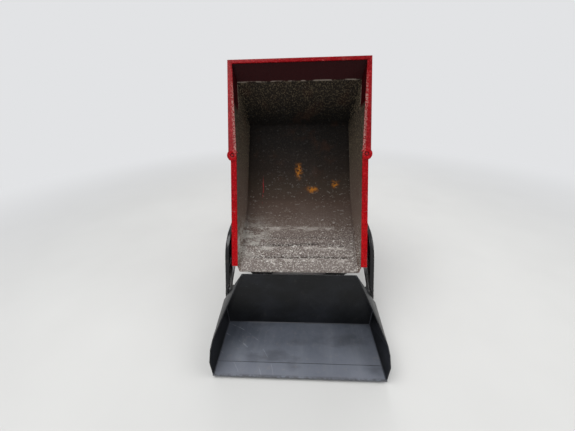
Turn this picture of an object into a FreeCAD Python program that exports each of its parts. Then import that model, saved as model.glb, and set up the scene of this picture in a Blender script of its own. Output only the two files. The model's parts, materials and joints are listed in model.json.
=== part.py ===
import FreeCAD, Part
import math
import os

# A small articulated site dumper with a front tipping skip and a self-loading shovel on two side arms.
# Millimetres. +Z is up, the shovel and the skip's lip face -Y, and the operator looks along -Y from the rear.
# The origin is on the ground under the middle of the machine. The skip is stored tipped and the shovel
# stands just above the ground, so both are drawn in that pose. Points in side view are written (y, z).

V = FreeCAD.Vector

# Gaps: a turning fit, between flat moving faces, between pieces that stand on each other, and at hubs
RUN_GAP = 0.06
SIDE_GAP = 3.0
WELD_GAP = 0.3
HUB_GAP = 0.5

# Rails of both frames
RAIL_IN = 132.0
RAIL_T = 48.0
RAIL_OUT = RAIL_IN + RAIL_T
RAIL_LOW = 372.0
RAIL_HIGH = 510.0

# Wheels
TYRE_R = 292.0
TYRE_W = 212.0
TYRE_SIDES = 36
LUG_ROWS = 12
LUG_H = 18.0
LUG_HALF = 13.0
LUG_SWEEP = 19.0
WHEEL_RIM_R = 158.0
WHEEL_DISC_T = 10.0
WHEEL_DISH = 34.0
WHEEL_GAP = 45.0
WHEEL_X = RAIL_OUT + WHEEL_GAP + TYRE_W / 2
FRONT_AXLE_Y = -480.0
REAR_AXLE_Y = 900.0
HUB_R = 62.0
HUB_CAP_L = 30.0
HUB_INSET = 18.0
STUD_COUNT = 5
STUD_PITCH_R = 84.0
STUD_R = 9.0
STUD_L = 12.0
AXLE_TUBE_R = 42.0
AXLE_FLANGE_R = 64.0
AXLE_FLANGE_T = 16.0
DIFF_R = 105.0
DIFF_NOSE_R = 44.0
SADDLE_HALF = 55.0

# Front frame
FRONT_NOSE_Y = -765.0
NOSE_RUN = 90.0
NOSE_RISE = 40.0
NOSE_ROUND = 20.0
FRONT_TAIL_Y = 95.0
CROSS_T = 60.0
FRONT_MID_Y = -300.0
STEER_PIVOT_Y = 215.0
STEER_PIN_R = 24.0
STEER_EAR_R = 72.0
STEER_EAR_T = 30.0
STEER_EAR_LOW_Z = 330.0
STEER_EAR_HIGH_Z = 520.0
EAR_RISE = 30.0
RAM_LUG_T = 12.0

# Skip, measured from the front end of its rim while the rim is level
SKIP_PIVOT = (-700.0, 600.0)
SKIP_TIP_DEG = 64.7
SKIP_RIM_Z = 969.0
SKIP_FRONT_Y = -922.0
SKIP_LENGTH = 1260.0
SKIP_LIP_REACH = 33.0
SKIP_LIP_DROP = 5.0
SKIP_BEND = (421.0, 236.0)
SKIP_HEEL = (998.0, 336.0)
SKIP_RING_S = 700.0
SKIP_TOP_HALF_FRONT = 389.0
SKIP_FLARE = 23.0
SKIP_TAPER = 14.0
SKIP_TOP_HALF_REAR = SKIP_TOP_HALF_FRONT + SKIP_FLARE
SKIP_FLOOR_HALF = SKIP_TOP_HALF_FRONT - SKIP_TAPER
SKIP_PLATE_T = 5.0
RIM_FRONT_W = 36.0
RIM_REAR_W = 28.0
RIM_FRONT_OUT = SKIP_TOP_HALF_FRONT + RIM_FRONT_W
RIM_REAR_OUT = SKIP_TOP_HALF_REAR + RIM_REAR_W
RIM_BAR_T = 8.0
RIM_CHANNEL_H = 38.0
RIM_WALL_T = 4.0
RIM_FRONT_DROP = 26.0
RING_R = 34.0
RING_T = 14.0
RING_BORE_R = 13.0
RING_X = SKIP_TOP_HALF_FRONT + 24.0
BACK_FLANGE_W = 22.0
CRADLE_HALF = 118.0
CRADLE_T = 14.0
CRADLE_DEPTH = 52.0
CRADLE_NOSE_S = 60.0
CRADLE_CROSS_Y = (90.0, 210.0)
CRADLE_CROSS_DEPTH = (42.0, 66.0)
CRADLE_RAIL_END_Y = 100.0
CRADLE_RAIL_TOP = 14.0
SKIP_EAR_R = 46.0
SKIP_PIN_R = 18.0
FRAME_EAR_R = 44.0

# Side strip, from the rim outwards: the side cylinders, the shovel's clevis round them, then the arms
RAM_GAP = 30.0
RAM_X = RIM_REAR_OUT + RAM_GAP
RAM_EYE_W = 16.0
RAM_PIN_R = 10.0
RAM_EYE_R = 21.0
RAM_NECK_L = 12.0
RAM_END_T = 7.0
SHOVEL_EAR_T = 9.0
SHOVEL_EAR_GAP = 20.0
SHOVEL_EAR_IN = RAM_X - SHOVEL_EAR_GAP / 2 - SHOVEL_EAR_T
ARM_IN = RAM_X + SHOVEL_EAR_GAP / 2 + SHOVEL_EAR_T + SIDE_GAP
ARM_T = 28.0
ARM_OUT = ARM_IN + ARM_T
TOWER_T = 15.0
TOWER_GAP = 15.0
TOWER_IN = RAM_X - RAM_EYE_W / 2 - TOWER_GAP - TOWER_T

# Loader arms
ARM_PIVOT = (0.0, 740.0)
ARM_PIN_R = 20.0
ARM_CAP_R = 32.0
ARM_CAP_T = 7.5
ARM_HALF = 45.0
ARM_BEND = (-905.0, 579.0)
ARM_BEND_R = 190.0
TOWER_BOSS_R = 34.0
TOWER_HALF = 62.0
TOWER_FOOT_Y = 150.0
CROWD_PIVOT = (-1060.0, 240.0)
CROWD_PIN_R = 14.0
LIFT_BASE = (60.0, 330.0)
LIFT_EYE = (-430.0, 665.0)
LIFT_BARREL_R = 16.0
LIFT_ROD_R = 9.0
LIFT_BARREL_L = 400.0
LIFT_ROD_INSIDE = 90.0
CROWD_BASE = (-560.0, 645.0)
CROWD_LEVER = (-1120.0, 340.0)
CROWD_BARREL_R = 15.0
CROWD_ROD_R = 9.0
CROWD_BARREL_L = 400.0
CROWD_ROD_INSIDE = 240.0

# Shovel, as wide as the arms stand, with a throat that fits the skip's lip
SHOVEL_HALF = ARM_OUT
THROAT_INSET = 9.0
SHOVEL_THROAT_HALF = SKIP_FLOOR_HALF - THROAT_INSET
SHOVEL_FRONT_Y = -1509.0
SHOVEL_BASE_Z = 20.0
SHOVEL_FLOOR_T = 10.0
SHOVEL_PLATE_T = 6.0
SHOVEL_BACK_FOOT_Y = -1135.0
SHOVEL_THROAT = (-1152.0, 506.0)
SHOVEL_KNEE_Z = 262.0
SHOVEL_TIP_SETBACK = 4.0
SHOVEL_TIP_Z = 150.0
SHOVEL_CHAMFER = (40.0, 55.0)
LEAN_TOE = (-1425.0, 222.0)
LEAN_HOLLOW = 0.12
EAR_LOW_Z = 60.0

# Tipping ram on the centre line
TIP_BASE = (0.0, 440.0)
TIP_EYE_S = 422.0
TIP_EYE_DROP = 88.0
TIP_BARREL_R = 34.0
TIP_ROD_R = 20.0
TIP_BARREL_L = 400.0
TIP_ROD_INSIDE = 330.0
TIP_EYE_R = 34.0
TIP_EYE_W = 44.0
TIP_PIN_R = 15.0

# Steering ram
STEER_BASE = (-210.0, -150.0)
STEER_EYE = (-200.0, 330.0)
STEER_RAM_Z = 340.0
STEER_BARREL_R = 22.0
STEER_ROD_R = 11.0
STEER_BARREL_L = 300.0
STEER_ROD_INSIDE = 163.0
STEER_WEB_GAP = 50.0
STEER_EYE_R = 24.0
STEER_EYE_W = 18.0
OUTRIGGER_Y = (40.0, 130.0)
OUTRIGGER_Z = (462.0, 516.0)

# Rear frame and the pieces on it
REAR_NOSE_Y = 330.0
REAR_TAIL_Y = 1420.0
REAR_RAIL_HIGH = 500.0
NECK_HALF = 60.0
DECK_T = 6.0
DECK_Z = REAR_RAIL_HIGH + WELD_GAP
DECK_HALF = RAIL_OUT - 2.0
DECK_FRONT_Y = 440.0
DECK_REAR_Y = 829.0
FOOT_HALF = 380.0
FOOT_REAR_Y = 566.0
TANK_Y = (450.0, 565.0)
TANK_LOW_Z = 320.0
TANK_ROUND = 22.0
FILLER_R = 22.0
FILLER_L = 12.0
FENDER_GAP = 34.0
FENDER_T = 6.0
FENDER_LOW = 110.0
FENDER_LIP = 12.0
PANEL_T = 4.0
SEAT_BOX_HALF = 320.0
SEAT_BOX_Y = (830.0, 1192.0)
SEAT_BOX_TOP_Z = 740.0
SEAT_HALF = 215.0
SEAT_BACK_HALF = 205.0
SEAT_T = 100.0
SEAT_Y = (860.0, 1140.0)
SEAT_BACK_T = 46.0
SEAT_BACK_H = 416.0
SEAT_BACK_LEAN = 42.0
COWL_HALF = 318.0
COWL_Y = (1200.0, 1450.0)
COWL_TOP_Z = 930.0
COWL_ROUND = 60.0
LOUVRE_LOW_Z = 600.0
LOUVRE_PITCH = 34.0
LOUVRE_H = 14.0
REAR_LOUVRES = 7
REAR_LOUVRE_HALF = 190.0
SIDE_LOUVRES = 5
SIDE_LOUVRE_Y = (1250.0, 1370.0)
ENGINE_HALF = 190.0
ENGINE_Y = (1212.0, 1415.0)
ENGINE_TOP_Z = 880.0
COUNTER_HALF = 300.0
COUNTER_Z = (330.0, 508.0)
COUNTER_ROUND = 40.0
REAR_END_Y = 1509.0
JAW_HALF = 45.0
JAW_DEPTH = 70.0
JAW_Z = (395.0, 445.0)
TOW_PIN_BORE_R = 13.0
TOW_PIN_BACK = 29.0
HINGE_R = 9.0
HINGE_PIN_R = 5.0
HINGE_X = (200.0, 240.0)
COWL_HINGE = (COWL_Y[1] + HINGE_R + SIDE_GAP, COUNTER_Z[1] + HINGE_R + SIDE_GAP)
ROPS_X = 362.0
ROPS_Y = 1236.0
ROPS_TUBE_R = 25.0
ROPS_HINGE_Z = 1150.0
ROPS_PIN_R = 9.0
ROPS_FORK_T = 8.0
ROPS_END_GAP = 8.0
ROPS_TOP_Z = 1850.0
ROPS_BEND_R = 120.0
WHEEL_CENTRE = (0.0, 640.0, 1000.0)
WHEEL_LEAN_DEG = 30.0
WHEEL_RING_R = 165.0
WHEEL_RING_T = 12.0
WHEEL_SPOKE_R = 8.0
WHEEL_HUB_R = 34.0
WHEEL_HUB_LOW = 16.0
WHEEL_HUB_L = 26.0
COLUMN_R = 17.0
COLUMN_L = 160.0
CONSOLE_HALF = 95.0
CONSOLE_Y = (462.0, 610.0)
CONSOLE_TOP_Z = 930.0
CONSOLE_SLOPE_H = 130.0
CONSOLE_ROUND = 40.0


def box(x0, x1, y0, y1, z0, z1):
    return Part.makeBox(x1 - x0, y1 - y0, z1 - z0, V(x0, y0, z0))


def both(shape):
    """A right-hand shape and its mirror image, in one compound."""
    return [shape, mirrored(shape)]


def mirrored(shape):
    return shape.mirror(V(0, 0, 0), V(1, 0, 0))


def rod_x(point, radius, x0, x1):
    return Part.makeCylinder(radius, x1 - x0, V(x0, point[0], point[1]), V(1, 0, 0))


def rod_z(x, y, radius, z0, z1):
    return Part.makeCylinder(radius, z1 - z0, V(x, y, z0), V(0, 0, 1))


def fused(shapes):
    first, rest = shapes[0], list(shapes[1:])
    joined = first.multiFuse(rest) if rest else first
    return joined.removeSplitter()


def rounded_wire(points, place):
    """A closed outline of straight sides with an arc of its own radius at each (a, b, radius) corner."""
    edges, ends = [], []
    count = len(points)
    for i in range(count):
        a, b, radius = points[i]
        here = V(a, b, 0)
        back = (V(*points[i - 1][:2], 0) - here).normalize()
        ahead = (V(*points[(i + 1) % count][:2], 0) - here).normalize()
        if radius <= 0:
            ends.append((here, None, here))
            continue
        half = back.getAngle(ahead) / 2
        reach = radius / math.tan(half)
        middle = (back + ahead).normalize()
        top = here + middle * (radius / math.sin(half) - radius)
        ends.append((here + back * reach, top, here + ahead * reach))
    for i in range(count):
        start, top, end = ends[i]
        if top is not None:
            edges.append(Part.Arc(place(start), place(top), place(end)).toShape())
        following = ends[(i + 1) % count][0]
        if (following - end).Length > 1e-6:
            edges.append(Part.LineSegment(place(end), place(following)).toShape())
    return Part.Wire(Part.__sortEdges__(edges))


def side_plate(points, x0, x1):
    """A plate with a side-view outline of (y, z, corner radius) points, from x0 to x1."""
    wire = rounded_wire(points, lambda p: V(x0, p.x, p.y))
    return Part.Face(wire).extrude(V(x1 - x0, 0, 0))


def plan_plate(points, z0, z1):
    """A plate with a plan outline of (x, y, corner radius) points, from z0 to z1."""
    wire = rounded_wire(points, lambda p: V(p.x, p.y, z0))
    return Part.Face(wire).extrude(V(0, 0, z1 - z0))


def tipped(shape):
    """A piece of the level skip, turned about the skip's pivot into the stored, tipped pose."""
    turned = shape.copy()
    turned.rotate(V(0, *SKIP_PIVOT), V(1, 0, 0), SKIP_TIP_DEG)
    return turned


def tipped_point(point):
    turn = math.radians(SKIP_TIP_DEG)
    y, z = point[0] - SKIP_PIVOT[0], point[1] - SKIP_PIVOT[1]
    return (
        SKIP_PIVOT[0] + y * math.cos(turn) - z * math.sin(turn),
        SKIP_PIVOT[1] + y * math.sin(turn) + z * math.cos(turn),
    )


def skip_point(s, depth):
    """A side-view point of the level skip: s behind the rim's front end, depth under the rim."""
    return (SKIP_FRONT_Y + s, SKIP_RIM_Z - depth)


# Wheels, hubs and axles


def facet_ring(section, sides):
    """A ring about the X axis with flat facets. section holds its (x, radius) corners in order."""
    faces = []
    count = len(section)
    for i in range(sides):
        turns = [2 * math.pi * (i + k) / sides for k in (0, 1)]
        for j in range(count):
            (xa, ra), (xb, rb) = section[j], section[(j + 1) % count]
            spots = [(xa, ra, turns[0]), (xb, rb, turns[0]), (xb, rb, turns[1]), (xa, ra, turns[1])]
            faces.append([(x, r * math.cos(turn), r * math.sin(turn)) for x, r, turn in spots])
    return prism(faces)


def tread_lug():
    """One slanted lug on top of the tyre, from its middle line out over the right-hand shoulder."""
    half = TYRE_W / 2
    top = TYRE_R
    crown = TYRE_R - LUG_H
    plan = [
        (-half * 0.08, -LUG_SWEEP - LUG_HALF),
        (half, LUG_SWEEP - LUG_HALF),
        (half, LUG_SWEEP + LUG_HALF),
        (-half * 0.08, -LUG_SWEEP + LUG_HALF),
    ]
    foot = Part.Face(Part.makePolygon([V(x, y, 0) for x, y in plan + plan[:1]]))
    upright = foot.extrude(V(0, 0, TYRE_R))
    section = [
        (-half * 0.08, crown - LUG_H),
        (-half * 0.08, top),
        (half * 0.78, top),
        (half * 0.99, crown - LUG_H * 0.6),
        (half, crown - LUG_H * 1.7),
        (half * 0.90, crown - LUG_H * 2.1),
        (half * 0.66, crown - LUG_H),
    ]
    face = Part.Face(Part.makePolygon([V(x, -TYRE_R, z) for x, z in section + section[:1]]))
    return upright.common(face.extrude(V(0, 2 * TYRE_R, 0)))


def tyre():
    """A low-pressure tyre about the X axis: a flat-sided casing with two staggered rows of lugs."""
    half = TYRE_W / 2
    crown = TYRE_R - LUG_H
    bead = WHEEL_RIM_R / math.cos(math.pi / TYRE_SIDES)
    flank = [(half * 0.72, bead), (half * 0.97, WHEEL_RIM_R + LUG_H * 2)]
    flank += [(half * 0.97, crown - LUG_H * 1.8), (half * 0.78, crown - 3)]
    casing = facet_ring(flank + [(-x, r) for x, r in reversed(flank)], TYRE_SIDES)
    right = tread_lug()
    rows = []
    for lug, start in ((right, 0.0), (mirrored(right), 0.5)):
        for i in range(LUG_ROWS):
            turned = lug.copy()
            turned.rotate(V(0, 0, 0), V(1, 0, 0), 360 * (i + start) / LUG_ROWS)
            rows.append(turned)
    return casing.multiFuse(rows)


def placed_tyre(shape, x, y):
    """The tyre at its wheel, the same way up on both sides of the machine."""
    moved = shape.copy()
    moved.translate(V(x, y, TYRE_R))
    return moved


def wheel_rim(side, x, y):
    """A dished steel wheel with its nave, studs and hub cap. side is 1 on the right and -1 on the left."""
    half = TYRE_W / 2 * 0.72
    lip = WHEEL_RIM_R - WELD_GAP
    well = WHEEL_RIM_R - 22
    barrel = [
        (-half, lip),
        (-half + 14, lip - 3),
        (-half + 30, well),
        (half - 30, well),
        (half - 14, lip - 3),
        (half, lip),
        (half, lip - 8),
        (half - 26, well - 8),
        (-half + 26, well - 8),
        (-half, lip - 8),
    ]
    points = [V(x + a, y, TYRE_R + b) for a, b in barrel]
    ring = Part.Face(Part.makePolygon(points + points[:1])).revolve(V(x, y, TYRE_R), V(1, 0, 0), 360)
    disc_out = x + side * WHEEL_DISH
    disc = Part.makeCylinder(well - 4, WHEEL_DISC_T, V(disc_out, y, TYRE_R), V(-side, 0, 0))
    cap = Part.makeCone(HUB_R, HUB_R * 0.72, HUB_CAP_L, V(disc_out, y, TYRE_R), V(side, 0, 0))
    hub_end = side * hub_face()
    back_length = abs(disc_out - side * WHEEL_DISC_T - hub_end)
    back = Part.makeCylinder(HUB_R, back_length, V(hub_end, y, TYRE_R), V(side, 0, 0))
    studs = []
    for i in range(STUD_COUNT):
        turn = 2 * math.pi * i / STUD_COUNT
        centre = V(disc_out, y + STUD_PITCH_R * math.cos(turn), TYRE_R + STUD_PITCH_R * math.sin(turn))
        studs.append(Part.makeCylinder(STUD_R, STUD_L, centre, V(side, 0, 0)))
    return fused([ring, disc, cap, back] + studs)


def hub_face():
    """Where the right-hand turning hub starts, seen from the axle."""
    return WHEEL_X - TYRE_W / 2 + HUB_INSET


def axle(y):
    """A driven beam axle: tube, banjo housing, end flanges and two saddles up to the rails."""
    end = hub_face() - HUB_GAP
    tube = rod_x((y, TYRE_R), AXLE_TUBE_R, -end, end)
    belly = RAIL_LOW - TYRE_R - 2 * SIDE_GAP
    nose = [(-DIFF_R, 0), (-DIFF_R, DIFF_NOSE_R), (-DIFF_R / 2, belly)]
    section = nose + [(-a, b) for a, b in reversed(nose)]
    corners = [V(0, y + a, TYRE_R + b) for a, b in section]
    housing = Part.Face(Part.makePolygon(corners + corners[:1])).revolve(V(0, y, TYRE_R), V(0, 1, 0), 360)
    flange = rod_x((y, TYRE_R), AXLE_FLANGE_R, end - AXLE_FLANGE_T, end)
    saddle = box(RAIL_IN, RAIL_OUT, y - SADDLE_HALF, y + SADDLE_HALF, TYRE_R, RAIL_LOW)
    return fused([tube, housing] + both(flange) + both(saddle))


# Front frame


def steer_ears():
    """The two flat ears that hold the steering pin behind the front frame."""
    ears = []
    for low in (STEER_EAR_LOW_Z, STEER_EAR_HIGH_Z):
        outline = [
            (-RAIL_IN, FRONT_TAIL_Y - CROSS_T, 0),
            (RAIL_IN, FRONT_TAIL_Y - CROSS_T, 0),
            (STEER_EAR_R, STEER_PIVOT_Y + STEER_EAR_R, STEER_EAR_R - 1),
            (-STEER_EAR_R, STEER_PIVOT_Y + STEER_EAR_R, STEER_EAR_R - 1),
        ]
        ears.append(plan_plate(outline, low, low + STEER_EAR_T))
    return ears


def steer_lug_levels():
    """The heights of the two plates on either side of the steering ram's eyes."""
    reach = STEER_EYE_W / 2 + SIDE_GAP
    return STEER_RAM_Z - reach - RAM_LUG_T, STEER_RAM_Z + reach


def steer_lugs():
    """The bracket under the left front rail that holds the steering ram's base."""
    ram_x, ram_y = STEER_BASE
    low, high = steer_lug_levels()
    pieces = [box(-RAIL_OUT, -RAIL_IN, ram_y - 40, ram_y + 30, low, RAIL_LOW + 1)]
    for z in (low, high):
        lug = [
            (-RAIL_IN, ram_y - 40, 0),
            (ram_x - STEER_EYE_R, ram_y - STEER_EYE_R, STEER_EYE_R - 1),
            (ram_x - STEER_EYE_R, ram_y + STEER_EYE_R, STEER_EYE_R - 1),
            (-RAIL_IN, ram_y + 30, 0),
        ]
        pieces.append(plan_plate(lug, z, z + RAM_LUG_T))
    return pieces + [rod_z(ram_x, ram_y, RAM_PIN_R, low - 2, high + RAM_LUG_T + 2)]


def front_frame():
    rail = side_plate(
        [
            (FRONT_NOSE_Y, RAIL_LOW + NOSE_RISE, NOSE_ROUND),
            (FRONT_NOSE_Y + NOSE_RUN, RAIL_LOW, NOSE_ROUND),
            (FRONT_TAIL_Y, RAIL_LOW, 0),
            (FRONT_TAIL_Y, RAIL_HIGH, 0),
            (FRONT_NOSE_Y, RAIL_HIGH, NOSE_ROUND),
        ],
        RAIL_IN,
        RAIL_OUT,
    )
    pivot_y, pivot_z = SKIP_PIVOT
    ear = side_plate(
        [
            (pivot_y - FRAME_EAR_R, RAIL_HIGH - EAR_RISE, 0),
            (pivot_y + FRAME_EAR_R + 70, RAIL_HIGH - EAR_RISE, 0),
            (pivot_y + FRAME_EAR_R, pivot_z + FRAME_EAR_R, FRAME_EAR_R - 2),
            (pivot_y - FRAME_EAR_R, pivot_z + FRAME_EAR_R, FRAME_EAR_R - 2),
        ],
        RAIL_IN + 6,
        RAIL_OUT - 12,
    )
    steer_top = STEER_EAR_HIGH_Z + STEER_EAR_T
    crosses = [
        box(-RAIL_IN, RAIL_IN, FRONT_NOSE_Y + 10, FRONT_NOSE_Y + 10 + CROSS_T, RAIL_LOW + 40, RAIL_HIGH - 20),
        box(-RAIL_IN, RAIL_IN, FRONT_MID_Y, FRONT_MID_Y + CROSS_T, RAIL_LOW, RAIL_LOW + 50),
        box(-RAIL_IN, RAIL_IN, FRONT_TAIL_Y - CROSS_T, FRONT_TAIL_Y, STEER_EAR_LOW_Z, steer_top),
    ]
    outrigger = box(RAIL_OUT, TOWER_IN, *OUTRIGGER_Y, *OUTRIGGER_Z)
    pieces = both(rail) + both(ear) + crosses + steer_ears() + both(outrigger) + steer_lugs()
    tip_boss = rod_x(TIP_BASE, TIP_EYE_R, TIP_EYE_W / 2 + SIDE_GAP, RAIL_IN)
    pieces += both(tip_boss) + [rod_x(TIP_BASE, TIP_PIN_R, -RAIL_IN, RAIL_IN)]
    pieces.append(rod_z(0, STEER_PIVOT_Y, STEER_PIN_R, STEER_EAR_LOW_Z - 14, steer_top + 14))
    frame = fused(pieces)
    bore = rod_x(SKIP_PIVOT, SKIP_PIN_R + RUN_GAP, -RAIL_OUT, RAIL_OUT)
    return frame.cut(bore)


def tower():
    """The right-hand upright that carries the arm pivot and the foot of the lift ram."""
    pivot_y, pivot_z = ARM_PIVOT
    base_y, base_z = LIFT_BASE
    top_z = pivot_z + TOWER_HALF
    plate = side_plate(
        [
            (pivot_y - TOWER_HALF, top_z, 50),
            (pivot_y + TOWER_HALF, top_z, 50),
            (TOWER_FOOT_Y, OUTRIGGER_Z[0] - 30, 30),
            (TOWER_FOOT_Y, base_z - TOWER_BOSS_R, 30),
            (base_y - 60, base_z - TOWER_BOSS_R, 30),
            (pivot_y - TOWER_HALF / 2, OUTRIGGER_Z[0] + 30, 60),
        ],
        TOWER_IN,
        TOWER_IN + TOWER_T,
    )
    boss = rod_x(ARM_PIVOT, TOWER_BOSS_R, TOWER_IN + TOWER_T, ARM_IN - SIDE_GAP)
    pin = rod_x(ARM_PIVOT, ARM_PIN_R, ARM_IN - SIDE_GAP, ARM_OUT + 2)
    cap = rod_x(ARM_PIVOT, ARM_CAP_R, ARM_OUT + 0.5, ARM_OUT + 0.5 + ARM_CAP_T)
    ram_pin = rod_x(LIFT_BASE, RAM_PIN_R, TOWER_IN, RAM_X + RAM_EYE_W / 2 + 6)
    ram_boss = rod_x(LIFT_BASE, RAM_EYE_R, TOWER_IN + TOWER_T, RAM_X - RAM_EYE_W / 2 - 1)
    return fused([plate, boss, pin, cap, ram_pin, ram_boss])


# Skip


def top_half(s):
    """Half of the skip's inside width at its rim, s behind the rim's front end."""
    share = max(0.0, (s - SKIP_RING_S) / (SKIP_LENGTH - SKIP_RING_S))
    return SKIP_TOP_HALF_FRONT + share * (SKIP_TOP_HALF_REAR - SKIP_TOP_HALF_FRONT)


def skip_corners(grow):
    """The right-hand corners of the skip's inside, or of its outside when grow is the plate thickness."""
    front_run = SKIP_BEND[0] + SKIP_LIP_REACH
    front_fall = SKIP_BEND[1] - SKIP_LIP_DROP
    rear_run = SKIP_HEEL[0] - SKIP_BEND[0]
    rear_fall = SKIP_HEEL[1] - SKIP_BEND[1]
    back_run = SKIP_LENGTH - SKIP_HEEL[0]
    lip_cap = (-SKIP_LIP_REACH, SKIP_LIP_DROP)
    lines = [
        offset_line((-SKIP_LIP_REACH, SKIP_LIP_DROP), (front_run, front_fall), grow),
        offset_line(SKIP_BEND, (rear_run, rear_fall), grow),
        offset_line(SKIP_HEEL, (back_run, -SKIP_HEEL[1]), grow),
    ]
    rim = ((0.0, 0.0), (1.0, 0.0))
    lip = crossing(((0.0, 0.0), lip_cap), lines[0])
    bend, heel = crossing(lines[0], lines[1]), crossing(lines[1], lines[2])
    top = crossing(lines[2], rim)
    foot = SKIP_FLOOR_HALF + grow
    rows = {
        "lip": (lip, foot),
        "bend": (bend, foot),
        "heel": (heel, foot),
        "rim_front": ((0.0, 0.0), SKIP_TOP_HALF_FRONT + grow),
        "rim_lug": ((SKIP_RING_S, 0.0), SKIP_TOP_HALF_FRONT + grow),
        "rim_rear": (top, SKIP_TOP_HALF_REAR + grow),
    }
    return {name: (half, *skip_point(*point)) for name, (point, half) in rows.items()}


def offset_line(point, run, grow):
    """A side-view line through point along run, moved by grow away from the skip's inside."""
    length = math.hypot(*run)
    return ((point[0] - grow * run[1] / length, point[1] + grow * run[0] / length), run)


def crossing(first, second):
    """Where two side-view lines, each a point and a run, cross."""
    (a, b), (c, d) = first, second
    cross = b[0] * d[1] - b[1] * d[0]
    share = ((c[0] - a[0]) * d[1] - (c[1] - a[1]) * d[0]) / cross
    return (a[0] + b[0] * share, a[1] + b[1] * share)


def skip_body(grow):
    """The closed body of the skip's inside, or of its outside when grow is the plate thickness."""
    right = skip_corners(grow)
    left = {name: (-x, y, z) for name, (x, y, z) in right.items()}
    sides = [
        ("lip", "bend", "rim_front"),
        ("rim_front", "bend", "rim_lug"),
        ("rim_lug", "bend", "heel"),
        ("rim_lug", "heel", "rim_rear"),
    ]
    faces = [[right[n] for n in side] for side in sides] + [[left[n] for n in side] for side in sides]
    for first, second in (("lip", "bend"), ("bend", "heel"), ("heel", "rim_rear"), ("rim_front", "lip")):
        faces.append([right[first], right[second], left[second], left[first]])
    top = ["rim_front", "rim_lug", "rim_rear"]
    faces.append([right[n] for n in top] + [left[n] for n in reversed(top)])
    return prism(faces)


def skip_tub():
    return tipped(skip_body(SKIP_PLATE_T).cut(skip_body(0.0)))


def side_wedge(s0, s1, half0, half1, out, low, high):
    """A bar beside the rim from s0 to s1, between the wall and out, from low to high under the rim."""
    y0, y1 = SKIP_FRONT_Y + s0, SKIP_FRONT_Y + s1
    plan = [(half0, y0, 0), (out, y0, 0), (out, y1, 0), (half1, y1, 0)]
    return plan_plate(plan, SKIP_RIM_Z - high, SKIP_RIM_Z - low)


def skip_rim():
    """The flat bar along the front of the rim, the channel round its rear, and the two lifting rings."""
    start, end = SKIP_RING_S, SKIP_LENGTH + BACK_FLANGE_W
    front_half, ring_half, rear_half = [top_half(along) for along in (0, start, SKIP_LENGTH)]
    front_wall, rear_wall = RIM_FRONT_OUT - RIM_WALL_T, RIM_REAR_OUT - RIM_WALL_T
    bars = [
        side_wedge(0, start, front_half, ring_half, RIM_FRONT_OUT, -RIM_BAR_T, 0),
        side_wedge(0, start, front_wall, front_wall, RIM_FRONT_OUT, -1, RIM_FRONT_DROP),
        side_wedge(start, end, ring_half, rear_half, RIM_REAR_OUT, -RIM_BAR_T, 0),
        side_wedge(start, end, rear_wall, rear_wall, RIM_REAR_OUT, -1, RIM_CHANNEL_H),
    ]
    rim_z = SKIP_RIM_Z
    ring_y = SKIP_FRONT_Y + SKIP_RING_S
    bars.append(rod_z(RING_X, ring_y, RING_R, rim_z, rim_z + RING_T))
    x, y0, y1 = RIM_REAR_OUT, SKIP_FRONT_Y + SKIP_LENGTH, SKIP_FRONT_Y + end
    back_top = box(-x, x, y0, y1, rim_z, rim_z + RIM_BAR_T)
    back_drop = box(-x, x, y1 - RIM_WALL_T, y1, rim_z - RIM_CHANNEL_H, rim_z + 1)
    rim = fused([piece for bar in bars for piece in both(bar)] + [back_top, back_drop])
    bores = both(rod_z(RING_X, ring_y, RING_BORE_R, rim_z - 2, rim_z + RING_T + 1))
    inside = [(top_half(along), SKIP_FRONT_Y + along, 0) for along in (-1.0, SKIP_RING_S, SKIP_LENGTH)]
    inside += [(-x, y, r) for x, y, r in reversed(inside)]
    mouth = plan_plate(inside, rim_z, rim_z + 2 * RING_T)
    return tipped(rim.cut(Part.makeCompound(bores + [mouth])))


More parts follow.
